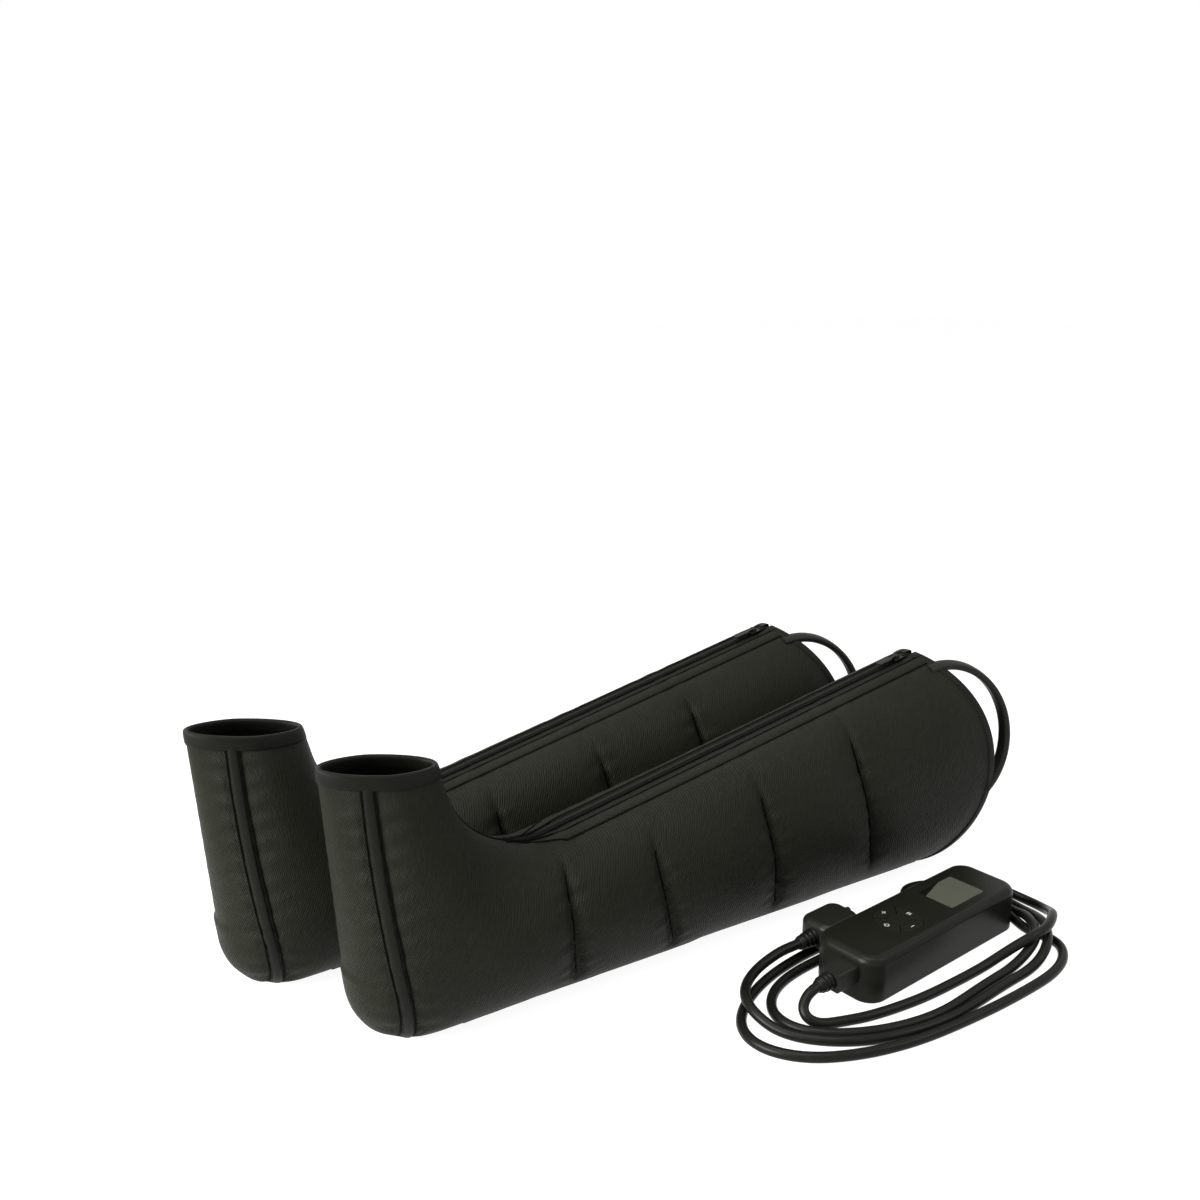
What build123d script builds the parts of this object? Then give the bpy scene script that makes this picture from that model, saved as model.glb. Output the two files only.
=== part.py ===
from build123d import *
import os
from math import sin, cos, tan, radians, degrees, pi, sqrt

# Air-compression leg set: two lower-leg sleeves, a hand-held pump unit and its air hose.
# Millimetres.  The origin is the centre of the pump unit's flat base, on the floor.
# +X runs along the sleeves from toe to knee, +Y from the pump unit towards the sleeves, +Z is up.
# Facing -X, the wearer has the right sleeve on the +Y side.

# ---------------------------------------------------------------- driving dimensions
# sleeve, in its own frame: x along the calf, y across, z up from the floor
ANKLE_HEIGHT = 113.0      # floor to instep at the ankle
INSTEP_RADIUS = 63.0      # hollow between instep and shin
INSTEP_X = 78.0           # centre of that hollow
TOE_FLARE = 15.0          # degrees, the instep edge leans forward at the toes
CALF_RISE = 11.1          # degrees, the shin line climbs towards the knee
HEEL_RADIUS = 42.0
HEEL_X = -12.0            # centre of the heel's round
SOLE_LEAN = 4.5           # degrees, the sole leans forward at the toes
SOLE_TIP_HEIGHT = 194.0   # top of the toe opening at the sole
INSTEP_TIP_HEIGHT = 182.0 # top of the toe opening at the instep
KNEE_X = 431.0            # where the shin seam reaches the knee hem
ANKLE_BASE_X = 6.0        # where the heel's sections have turned into the calf's
TOE_HALF_WIDTH = 20.0
ANKLE_HALF_WIDTH = 46.0
KNEE_HALF_WIDTH = 52.0
HEM_BELLY = 44.0          # how far the hem bows out past KNEE_X
HEM_BELLY_HEIGHT = 72.0
HEM_FOOT = 9.0            # hem past KNEE_X at the floor

COVER_THICK = 1.6
LINING_THICK = 1.0
CELL_THICK = 3.0
LAYER_GAP = 0.3
BINDING_THICK = 1.1
BINDING_GAP = 0.2
TOE_BINDING_DEPTH = 9.0
HEM_BINDING_DEPTH = 6.0
PIPING_WIDTH = 7.0
BASE_BAND = 7.0           # height of the base panel's edge above the floor
SEAM_SETBACK = 24.0       # sole seam behind the toe opening's sole tip

ZIP_START_ANGLE = 252.0   # degrees round the instep hollow where the zip begins
ZIP_HALF_WIDTH = 8.0      # slot between the side panels
COIL_HALF_WIDTH = 2.3
COIL_SLIT = 1.5           # gap between the two coils that the slider's neck runs in
COIL_TOP = 0.8
COIL_BOTTOM = -1.8
ZIP_FIT = 0.3
SLIDER_LENGTH = 9.0
SLIDER_WIDTH = 8.0
SLIDER_PLATE = 1.0
SLIDER_FROM_HEM = 18.0
PULL_LENGTH = 20.0
PULL_WIDTH = 6.0
PULL_THICK = 1.4
PULL_PIN_RADIUS = 0.5
PULL_EYE_RADIUS = 1.2

LOOP_WIDTH = 10.0
LOOP_THICK = 4.0
LOOP_REACH = 21.0         # beyond the hem's belly
LOOP_DROP = 50.0          # its middle below the shin seam

WELD = 2.0                # gap between neighbouring air cells
CELL_EDGE = 14.0          # cells stop short of the openings
WELD_SHARES = ((0.135, 0.205), (0.297, 0.385), (0.485, 0.600), (0.685, 0.820))

PORT_BORE_RADIUS = 2.6
PORT_BORE_DEPTH = 10.5
PORT_DUCT_RADIUS = 1.5     # narrow way on into the air cell
PORT_RADIUS = 5.0
PORT_FLANGE_RADIUS = 9.0
PORT_FLANGE_THICK = 2.0
PORT_REACH = 11.0         # nipple outside the cover
PORT_PAST_KNEE = 22.0
PORT_HEIGHT = 80.0
PORT_IN_CELL = 0.8

LEFT_SLEEVE_PLACE = (-337.0, 111.0, 0.0)    # sleeve frame's origin and turn about Z
RIGHT_SLEEVE_PLACE = (-385.0, 218.0, 1.5)

# pump unit, in its own frame: x along it from the hose end, y across, z up
UNIT_LENGTH = 172.0
UNIT_WIDTH = 54.0
UNIT_HEIGHT = 34.0
UNIT_TURN = 6.9           # degrees about Z against the sleeves
CORNER_RADIUS = 14.0
EDGE_RADIUS = 5.5
BASE_EDGE_RADIUS = 2.0
UNIT_WALL = 2.0
PARTING_HEIGHT = 10.0
FIT = 0.3                 # play round keys and between loose neighbours
SEAT = 0.1                # play of a piece in its own recess

PAD_X = -25.5             # key pad centre
PAD_RADIUS = 17.5
CENTRE_KEY_RADIUS = 7.8
KEY_SPLIT = 0.5
KEY_THICK = 3.4
KEY_TRAVEL = 0.5
KEY_FLANGE = 1.0
KEY_FLANGE_THICK = 1.0
SHEET_THICK = 1.5         # rubber sheet under the keys
SHEET_MARGIN = 2.0
DOME_RADIUS = 2.5

WINDOW_X = 37.0
WINDOW_LENGTH = 39.0
WINDOW_WIDTH = 30.0
WINDOW_THICK = 1.2
WINDOW_LEDGE = 1.5
WINDOW_CORNER = 1.5

BOARD_X = 8.0             # board's centre
BOARD_THICK = 1.6
BOARD_HEIGHT = 24.0       # underside
BOARD_LENGTH = 146.0
BOARD_WIDTH = 42.0
POST_RADIUS = 2.2         # posts that the board hangs from
POST_PLACES = (-58.0, 2.0, 64.0)

SCREW_RADIUS = 1.2
SCREW_HEAD_RADIUS = 2.4
SCREW_HEAD_DEPTH = 3.0
SCREW_LENGTH = 16.0
BOSS_RADIUS = 3.2
SCREW_INSET_X = 8.5
SCREW_INSET_Y = 8.5

MOTOR_RADIUS = 10.0
MOTOR_LENGTH = 25.0
MOTOR_X = -20.0           # end of the motor next to the pump
SHAFT_RADIUS = 1.0
SHAFT_FIT = 0.05
SHAFT_IN_MOTOR = 8.0
CAM_RADIUS = 4.0
CAM_OFFSET = 1.2
CAM_THICK = 4.0
CRANK_ROOM = 8.0
PUMP_CASE_LENGTH = 10.0
PUMP_CASE_SIDE = 20.0
PUMP_HEAD_LENGTH = 9.0

MOTOR_RIB = 2.0           # saddle ribs under the motor
VALVE_BLOCK_HEIGHT = 6.0
VALVE_BLOCK_HALF = 14.5
VALVE_SIZE = (14.0, 8.6, 12.0)
VALVE_PITCH = 9.6
TUBE_RADIUS = 2.0
SOCKET_DEPTH = 13.0       # hose socket behind the end wall
SOCKET_WALL = 2.0

BATTERY_RADIUS = 9.25     # battery cells, 18650 size with their wrap
BATTERY_LENGTH = 66.0
BATTERY_X = 38.9

JACK_WIDTH = 9.0          # charging socket's shell
JACK_HEIGHT = 3.3
JACK_LENGTH = 7.5
JACK_WALL = 0.4
JACK_ROUND = 1.5

PLUG_LENGTH = 20.0
PLUG_WIDTH = 16.5
PLUG_HEIGHT = 13.5
PLUG_ROUND = 1.5
PLUG_Y = -6.5
PLUG_Z = 20.3
TONGUE_WIDTH = 10.0
TONGUE_HEIGHT = 7.0
TONGUE_LENGTH = 9.0
RELIEF_RADIUS = 5.6
RELIEF_LENGTH = 12.0
RELIEF_WALL = 0.6

HOSE_DIAMETER = 7.1
COIL_LAYER = 7.4          # one layer of the hose with its play
FAR_PLUG_LENGTH = 38.0
FAR_PLUG_WIDTH = 29.0
FAR_PLUG_HEIGHT = 20.0
FAR_PLUG_CORNER = 9.0
FAR_PLUG_CROWN = 5.0
FAR_PLUG_X = -47.0
FAR_PLUG_Y = 43.0
FAR_RELIEF_LENGTH = 15.0
FAR_RELIEF_DROP = 1.6     # boot below the plug's middle
NOZZLE_RADIUS = 2.5
NOZZLE_LENGTH = 10.0
NOZZLE_SPACING = 14.0

# hose route in the part's frame: out of each plug, down to the loose turns round the unit
LEAD_POINTS = ((-124.4, -21.6, 20.3), (-132.5, -30.6, 15.7), (-131.2, -41.6, 9.2), (-122.2, -48.6, 4.6),
               (-109.5, -51.5, 3.65), (-95.5, -53.3, 3.7), (-81.5, -54.0, 3.65))
TAIL_POINTS = ((-97.0, 31.8, 15.2), (-108.0, 31.5, 11.5), (-119.0, 29.5, 7.0), (-131.0, 25.5, 4.3),
               (-142.0, 19.5, 3.7))
RING_OUTSIDE = ((-181, -18), (-176, -42), (-156, -65), (-122, -79), (-80, -87), (-35, -88), (12, -87),
                (56, -80), (90, -65), (113, -43), (126, -20), (126, 4), (114, 31), (92, 57), (62, 70),
                (28, 66), (-14, 56), (-62, 48), (-112, 40), (-150, 24), (-172, 6))
RING_INSIDE = ((-141, -6), (-141, -22), (-132, -40), (-114, -51), (-95, -54), (-76, -48), (-40, -45),
               (0, -42), (40, -39), (70, -36), (88, -26), (92, -6), (91.5, 14), (86.5, 31), (70, 39),
               (30, 34.5), (-30, 27.5), (-80, 21.5), (-105, 17), (-124, 9), (-136, 1))
RAISED_LEFT = -118.0      # the ring is two layers deep beyond these
RAISED_FRONT = 40.0
RAISED_BACK = 14.0
CROSSING = (48.0, 108.0, -25.0)    # three layers between these x, in front of this y

parts = {}
BIG = 150.0               # reach of cutting blocks


def block(x0, x1, y0, y1, z0, z1):
    """A box between two corners."""
    centre = ((x0 + x1) / 2, (y0 + y1) / 2, (z0 + z1) / 2)
    return Pos(*centre) * Box(x1 - x0, y1 - y0, z1 - z0)


def rod(start, direction, radius, length):
    """A cylinder from a point along a direction."""
    plane = Plane(origin=start, z_dir=direction)
    return plane * Cylinder(radius, length, align=(Align.CENTER, Align.CENTER, Align.MIN))


def side_prism(edges, half_depth):
    """An outline in the sleeve's XZ plane, made solid across y."""
    face = make_face(edges)
    return extrude(face, half_depth, dir=(0, 1, 0), both=True)


# ---------------------------------------------------------------- sleeve: side view
HOLLOW_CENTRE = (INSTEP_X, ANKLE_HEIGHT + INSTEP_RADIUS)
FLARE_START = radians(180 + TOE_FLARE)
HOLLOW_END = radians(270 + CALF_RISE)
FLARE_FOOT = (HOLLOW_CENTRE[0] + INSTEP_RADIUS * cos(FLARE_START),
              HOLLOW_CENTRE[1] + INSTEP_RADIUS * sin(FLARE_START))
FLARE_LENGTH = (INSTEP_TIP_HEIGHT - FLARE_FOOT[1]) / cos(radians(TOE_FLARE))
HOLLOW_LENGTH = INSTEP_RADIUS * (HOLLOW_END - FLARE_START)
SHIN_FOOT = (HOLLOW_CENTRE[0] + INSTEP_RADIUS * cos(HOLLOW_END),
             HOLLOW_CENTRE[1] + INSTEP_RADIUS * sin(HOLLOW_END))
SHIN_DIRECTION = (cos(radians(CALF_RISE)), sin(radians(CALF_RISE)))
HEEL_START = radians(180 + SOLE_LEAN)
SOLE_FOOT = (HEEL_X + HEEL_RADIUS * cos(HEEL_START), HEEL_RADIUS + HEEL_RADIUS * sin(HEEL_START))
SOLE_LINE = (SOLE_TIP_HEIGHT - SOLE_FOOT[1]) / cos(radians(SOLE_LEAN))
HEEL_LENGTH = HEEL_RADIUS * (radians(270) - HEEL_START)


def instep_point(distance):
    """Side-view point on the instep and shin line, measured from the toe opening."""
    if distance < FLARE_LENGTH:
        up = FLARE_LENGTH - distance
        return (FLARE_FOOT[0] - up * sin(radians(TOE_FLARE)), FLARE_FOOT[1] + up * cos(radians(TOE_FLARE)))
    if distance < FLARE_LENGTH + HOLLOW_LENGTH:
        angle = FLARE_START + (distance - FLARE_LENGTH) / INSTEP_RADIUS
        return (HOLLOW_CENTRE[0] + INSTEP_RADIUS * cos(angle), HOLLOW_CENTRE[1] + INSTEP_RADIUS * sin(angle))
    along = distance - FLARE_LENGTH - HOLLOW_LENGTH
    return (SHIN_FOOT[0] + along * SHIN_DIRECTION[0], SHIN_FOOT[1] + along * SHIN_DIRECTION[1])


def sole_point(distance):
    """Side-view point on the sole, heel and base line, measured from the toe opening."""
    if distance < SOLE_LINE:
        up = SOLE_LINE - distance
        return (SOLE_FOOT[0] - up * sin(radians(SOLE_LEAN)), SOLE_FOOT[1] + up * cos(radians(SOLE_LEAN)))
    if distance < SOLE_LINE + HEEL_LENGTH:
        angle = HEEL_START + (distance - SOLE_LINE) / HEEL_RADIUS
        return (HEEL_X + HEEL_RADIUS * cos(angle), HEEL_RADIUS + HEEL_RADIUS * sin(angle))
    return (HEEL_X + distance - SOLE_LINE - HEEL_LENGTH, 0.0)


FOOT_INSTEP = FLARE_LENGTH + HOLLOW_LENGTH
FOOT_SOLE = SOLE_LINE + HEEL_LENGTH + ANKLE_BASE_X - HEEL_X
SHIN_LENGTH = (KNEE_X - SHIN_FOOT[0]) / SHIN_DIRECTION[0]
BASE_LENGTH = KNEE_X - ANKLE_BASE_X

# stations of the skins: share of the foot's length, then shares of the shin's and the base's length
FOOT_STATIONS = (-0.10, 0.0, 0.12, 0.24, 0.36, 0.48, 0.60, 0.70, 0.80, 0.90, 1.0)
CALF_STATIONS = ((0.05, 0.09), (0.11, 0.19), (0.18, 0.29), (0.27, 0.39), (0.38, 0.50), (0.50, 0.61),
                 (0.63, 0.72), (0.76, 0.83), (0.89, 0.93), (1.0, 1.0), (1.10, 1.09), (1.19, 1.17))

SECTION_STEPS = 12        # spans of half a section, the same in every section so that the skins stay light
SECTION_SHARES = [step / SECTION_STEPS for step in range(SECTION_STEPS + 1)]


def stations():
    """Yields instep point, sole point, half width, tip roundness and puff for every section."""
    for share in FOOT_STATIONS:
        swell = sin(max(share, 0.0) * pi / 2)
        half_width = TOE_HALF_WIDTH + (ANKLE_HALF_WIDTH - TOE_HALF_WIDTH) * swell
        roundness = 1.55 + 0.5 * min(1.0, max(share, 0.0) / 0.5)
        puff = min(1.0, 0.1 + max(share, 0.0) / 0.3)
        yield instep_point(share * FOOT_INSTEP), sole_point(share * FOOT_SOLE), half_width, roundness, puff
    for shin_share, base_share in CALF_STATIONS:
        grown = min(shin_share, 1.0)
        half_width = ANKLE_HALF_WIDTH + (KNEE_HALF_WIDTH - ANKLE_HALF_WIDTH) * grown
        puff = 1.0 if shin_share <= 1.0 else 0.1
        yield (instep_point(FOOT_INSTEP + shin_share * SHIN_LENGTH),
               sole_point(FOOT_SOLE + base_share * BASE_LENGTH), half_width, 2.05, puff)


def skin(inset, cell_share=0.0):
    """The sleeve's outer shape drawn in by an inset, and by a share of the air cells' thickness."""
    wires = []
    for instep, sole, half_width, roundness, puff in stations():
        depth = inset + cell_share * CELL_THICK * puff
        centre = Vector((instep[0] + sole[0]) / 2, 0, (instep[1] + sole[1]) / 2)
        reach = Vector(instep[0] - sole[0], 0, instep[1] - sole[1])
        half_length = reach.length / 2 - depth
        reach = reach.normalized()
        halves = []
        for side in (1, -1):
            points = []
            for step in range(SECTION_STEPS + 1):
                angle = side * pi * step / SECTION_STEPS
                along = abs(cos(angle)) ** (2 / roundness) * (1 if cos(angle) > 0 else -1)
                across = sin(angle) * (half_width - depth)
                points.append(centre + reach * (along * half_length) + Vector(0, across, 0))
            halves.append(Edge.make_spline(points, parameters=SECTION_SHARES))
        wires.append(Wire(halves))
    return Solid.make_loft(wires)


def toe_height(x, shift):
    slope = (INSTEP_TIP_HEIGHT - SOLE_TIP_HEIGHT) / (instep_point(0)[0] - sole_point(0)[0])
    return SOLE_TIP_HEIGHT + slope * (x - sole_point(0)[0]) + shift


def trim(toe_shift=0.0, hem_shift=0.0):
    """Everything between the toe opening's plane and the bowed knee hem."""
    knee_top = instep_point(FOOT_INSTEP + SHIN_LENGTH)[1]
    low = (KNEE_X + HEM_FOOT + hem_shift, 0)
    belly = (KNEE_X + HEM_BELLY + hem_shift, HEM_BELLY_HEIGHT)
    top = (KNEE_X + hem_shift, knee_top)
    over = SOLE_TIP_HEIGHT + BIG
    mid_x = INSTEP_X - INSTEP_RADIUS / 2
    outline = [(-BIG, 0), (-BIG, toe_height(-BIG, toe_shift)),
               (mid_x, toe_height(mid_x, toe_shift)), (mid_x, over), (top[0], over), top]
    hem = ThreePointArc(*[(x, 0, z) for x, z in (top, belly, low)])
    lines = Polyline(*[(x, 0, z) for x, z in [low] + outline])
    return side_prism([hem] + lines.edges(), BIG)


def shin_band(above, below, half_width, inner_half_width=0.0, end_gap=0.0):
    """A strip that follows the instep and shin line where the zip runs."""
    start = FLARE_LENGTH + INSTEP_RADIUS * (radians(ZIP_START_ANGLE) - FLARE_START)
    end = FOOT_INSTEP + SHIN_LENGTH - end_gap
    stops = [start + (FOOT_INSTEP - start) * i / 4 for i in range(5)] + [end]
    upper, lower = [], []
    for stop in stops:
        here, there = instep_point(stop - 0.01), instep_point(stop + 0.01)
        run = Vector(there[0] - here[0], 0, there[1] - here[1]).normalized()
        normal = Vector(-run.Z, 0, run.X)
        point = Vector(here[0], 0, here[1])
        upper.append(point + normal * above)
        lower.append(point + normal * below)
    outline = Polyline(*upper, *reversed(lower), close=True)
    band = side_prism(outline.edges(), half_width)
    if inner_half_width:
        band -= side_prism(outline.edges(), inner_half_width)
    return band


def shin_frame(end_gap):
    """Plane on the shin line, x along it towards the knee, z out of the leg."""
    x, z = instep_point(FOOT_INSTEP + SHIN_LENGTH - end_gap)
    return Plane(origin=(x, 0, z), x_dir=(SHIN_DIRECTION[0], 0, SHIN_DIRECTION[1]),
                 z_dir=(-SHIN_DIRECTION[1], 0, SHIN_DIRECTION[0]))


# ---------------------------------------------------------------- sleeve: pieces
cover_outside = skin(0)
cover_inside = skin(COVER_THICK)
cell_depth = COVER_THICK + LAYER_GAP
lining_depth = cell_depth + LAYER_GAP
lining_inside_depth = lining_depth + LINING_THICK
cover_trim = trim()
cover = (cover_outside & cover_trim) - cover_inside
lining = (skin(lining_depth, 1) & cover_trim) - skin(lining_inside_depth, 1)
lining -= shin_band(20, -20, SLIDER_WIDTH / 2 + 1)

# panels of the cover: sole, base and two sides, with the zip's slot between the sides
sole_tip_x = sole_point(0)[0]


def seam_edges(shift, floor):
    """Sole seam in side view, moved along x, and closed round everything in front of it."""
    top = (sole_tip_x + SEAM_SETBACK + shift, SOLE_TIP_HEIGHT + 4)
    middle = (sole_tip_x + SEAM_SETBACK + 4 + shift, SOLE_TIP_HEIGHT / 2)
    foot = (sole_tip_x + SEAM_SETBACK + 18 + shift, floor)
    arc = ThreePointArc(*[(x, 0, z) for x, z in (top, middle, foot)])
    rest = Polyline(*[(x, 0, z) for x, z in (foot, (-BIG, floor), (-BIG, top[1]), top)])
    return [arc] + rest.edges()


in_front_of_seam = side_prism(seam_edges(0, BASE_BAND), BIG)
under_band = block(-BIG, KNEE_X + BIG, -BIG, BIG, -1, BASE_BAND)
zip_slot = shin_band(12, -9, ZIP_HALF_WIDTH)
port_x = KNEE_X + PORT_PAST_KNEE
port_hole = rod((port_x, 0, PORT_HEIGHT), (0, 1, 0), PORT_RADIUS - 0.7, BIG)
cover_sides = cover - in_front_of_seam - under_band - zip_slot - port_hole
sleeve = {
    "cover_sole": cover & in_front_of_seam,
    "cover_base": cover & under_band,
    "cover_loop_side": cover_sides & block(-BIG, KNEE_X + BIG, -BIG, 0, -1, 2 * BIG),
    "cover_port_side": cover_sides & block(-BIG, KNEE_X + BIG, 0, BIG, -1, 2 * BIG),
    "lining": lining,
}

# air cells: one round the foot and four round the calf, parted by the welds
cell_skin = (skin(cell_depth) & trim(-CELL_EDGE, -CELL_EDGE)) - skin(cell_depth, 1)
cell_skin -= shin_band(20, -20, ZIP_HALF_WIDTH + 2)
cell_skin -= port_hole
shin_top = instep_point(FOOT_INSTEP + SHIN_LENGTH)[1]


def weld_x(shares, height):
    """Where a weld crosses a height, from its shares of the calf's length at the shin and at the base."""
    at_shin, at_base = shares
    return KNEE_X * (at_shin + (at_base - at_shin) * (1 - height / ANKLE_HEIGHT))


cells = []
limits = [(-1.0, -1.0)] + list(WELD_SHARES) + [(2.0, 2.0)]
low, high = -1.0, SOLE_TIP_HEIGHT + 10
for before, after in zip(limits, limits[1:]):
    corners = [(weld_x(before, low) + WELD / 2, low), (weld_x(after, low) - WELD / 2, low),
               (weld_x(after, high) - WELD / 2, high), (weld_x(before, high) + WELD / 2, high)]
    outline = Polyline(*[(x, 0, z) for x, z in corners], close=True)
    cells += (cell_skin & side_prism(outline.edges(), BIG)).solids()
sleeve["air_cells"] = Compound(cells)

# bindings folded over the edges of the toe opening and of the knee hem
bind_outside = skin(-BINDING_GAP - BINDING_THICK)
bind_fold = skin(-BINDING_GAP)
bind_under = skin(lining_inside_depth + BINDING_GAP, 1)
bind_inside = skin(lining_inside_depth + BINDING_GAP + BINDING_THICK, 1)
bind_skin = bind_outside - bind_inside
wall_room = bind_fold - bind_under
rim = BINDING_GAP + BINDING_THICK
toe_zone = block(-BIG, INSTEP_X - INSTEP_RADIUS / 2, -BIG, BIG, ANKLE_HEIGHT, 2 * BIG)
knee_zone = block(KNEE_X - 40, KNEE_X + BIG, -BIG, BIG, -BIG, 2 * BIG)
toe_slab = (trim(rim) - trim(-TOE_BINDING_DEPTH)) & toe_zone
hem_slab = (trim(0, rim) - trim(0, -HEM_BINDING_DEPTH)) & knee_zone
sleeve["toe_binding"] = (bind_skin & toe_slab) - (wall_room & trim(BINDING_GAP))
sleeve["knee_binding"] = (bind_skin & hem_slab) - (wall_room & trim(0, BINDING_GAP)) \
    - shin_band(20, -20, COIL_HALF_WIDTH + 0.5, end_gap=-20)

# piping over the two sole seams
pipe_skin = (bind_outside - bind_fold) & trim(-TOE_BINDING_DEPTH - 1.0)
seam_strip = side_prism(seam_edges(PIPING_WIDTH / 2, BASE_BAND + 1), BIG) \
    - side_prism(seam_edges(-PIPING_WIDTH / 2, BASE_BAND - 1), BIG)
sleeve["sole_piping"] = Compound((pipe_skin & seam_strip).solids())

# zip: two tapes, two coils, slider and pull
tapes = cover & shin_band(12, -9, ZIP_HALF_WIDTH, COIL_HALF_WIDTH + ZIP_FIT)
sleeve["zip_tapes"] = Compound(tapes.solids())
coils = shin_band(COIL_TOP, COIL_BOTTOM, COIL_HALF_WIDTH, COIL_SLIT / 2, HEM_BINDING_DEPTH + 1)
sleeve["zip_coils"] = Compound(coils.solids())

on_zip = shin_frame(SLIDER_FROM_HEM)
half = SLIDER_LENGTH / 2
plate_low = COIL_TOP + ZIP_FIT
pin_height = plate_low + SLIDER_PLATE + FIT + PULL_EYE_RADIUS
slider = block(-half, half, -SLIDER_WIDTH / 2, SLIDER_WIDTH / 2, plate_low, plate_low + SLIDER_PLATE)
slider += block(-half, half, -SLIDER_WIDTH / 2, SLIDER_WIDTH / 2,
                COIL_BOTTOM - ZIP_FIT - SLIDER_PLATE, COIL_BOTTOM - ZIP_FIT)
neck = COIL_SLIT / 2 - ZIP_FIT
slider += block(half - 3, half, -neck, neck, COIL_BOTTOM - ZIP_FIT - 0.5, plate_low + 0.5)
eye_half = 1.3
for side in (-1, 1):
    ear = rod((0, side * (eye_half + FIT + 0.5) - 0.5, pin_height), (0, 1, 0), PULL_EYE_RADIUS, 1.0)
    ear += block(-PULL_EYE_RADIUS, PULL_EYE_RADIUS, side * (eye_half + FIT + 0.5) - 0.5,
                 side * (eye_half + FIT + 0.5) + 0.5, plate_low + SLIDER_PLATE / 2, pin_height)
    slider += ear
slider += rod((0, -eye_half - FIT - 0.6, pin_height), (0, 1, 0), PULL_PIN_RADIUS, 2 * (eye_half + FIT + 0.6))
sleeve["zip_slider"] = on_zip * slider

pull = rod((0, -eye_half, pin_height), (0, 1, 0), PULL_EYE_RADIUS, 2 * eye_half)
pull += block(-PULL_LENGTH / 2, -0.6, -eye_half, eye_half, pin_height - PULL_THICK / 2,
              pin_height + PULL_THICK / 2)
tab = block(-PULL_LENGTH, -6, -PULL_WIDTH / 2, PULL_WIDTH / 2, pin_height - PULL_THICK / 2,
            pin_height + PULL_THICK / 2)
pull += fillet(tab.edges().filter_by(Axis.Z), 2.0)
pull -= rod((0, -eye_half - 1, pin_height), (0, 1, 0), PULL_PIN_RADIUS + 0.08, 2 * eye_half + 2)
sleeve["zip_pull"] = on_zip * pull

# pull loop, sewn into the knee hem at its top and half way down
loop_top = Vector(KNEE_X - 2, -0.38 * KNEE_HALF_WIDTH, shin_top - 9)
loop_low = Vector(KNEE_X + HEM_BELLY - 3, -KNEE_HALF_WIDTH + 4, HEM_BELLY_HEIGHT)
loop_out = Vector(KNEE_X + HEM_BELLY + LOOP_REACH, -0.75 * KNEE_HALF_WIDTH, shin_top - LOOP_DROP)
loop_path = ThreePointArc(loop_top, loop_out, loop_low)
loop_plane = Plane(origin=loop_path @ 0, z_dir=loop_path % 0, x_dir=(0, 1, 0.3))
loop_section = loop_plane * RectangleRounded(LOOP_WIDTH, LOOP_THICK, LOOP_THICK / 2 - 0.1)
sleeve["pull_loop"] = sweep(loop_section, path=loop_path)

# air port in the side away from the pull loop, between the shin seam's end and the bowed hem
port_face = KNEE_HALF_WIDTH + BINDING_GAP
port_inner = port_face - cell_depth - PORT_IN_CELL
port = rod((port_x, port_face, PORT_HEIGHT), (0, 1, 0), PORT_FLANGE_RADIUS, PORT_FLANGE_THICK)
port += rod((port_x, port_face, PORT_HEIGHT), (0, 1, 0), PORT_RADIUS, PORT_REACH)
port += rod((port_x, port_inner, PORT_HEIGHT), (0, 1, 0), PORT_RADIUS - 1.0, port_face - port_inner)
port -= rod((port_x, port_face + PORT_REACH - PORT_BORE_DEPTH, PORT_HEIGHT), (0, 1, 0),
            PORT_BORE_RADIUS, PORT_BORE_DEPTH)
port -= rod((port_x, port_inner, PORT_HEIGHT), (0, 1, 0), PORT_DUCT_RADIUS, PORT_REACH)
sleeve["air_port"] = port

for side, (x, y, turn) in (("left", LEFT_SLEEVE_PLACE), ("right", RIGHT_SLEEVE_PLACE)):
    for name, shape in sleeve.items():
        parts[f"{side}_{name}"] = Location((x, y, 0), (0, 0, turn)) * shape

# ---------------------------------------------------------------- pump unit: shells
unit = {}
half_length, half_width = UNIT_LENGTH / 2, UNIT_WIDTH / 2
UP = (0, 0, 1)


def rounded_case(inset):
    """The unit's rounded box, drawn in by an inset."""
    outline = RectangleRounded(UNIT_LENGTH - 2 * inset, UNIT_WIDTH - 2 * inset, CORNER_RADIUS - inset)
    body = Pos(0, 0, inset) * extrude(outline, UNIT_HEIGHT - 2 * inset)
    body = fillet(body.faces().sort_by(Axis.Z)[-1].edges(), EDGE_RADIUS - inset)
    return fillet(body.faces().sort_by(Axis.Z)[0].edges(), BASE_EDGE_RADIUS - 0.75 * inset)


def plate(x, length, width, corner, low, high):
    """A rounded plate on the unit's middle line."""
    return extrude(Pos(x, 0, low) * RectangleRounded(length, width, corner), high - low)


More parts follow.
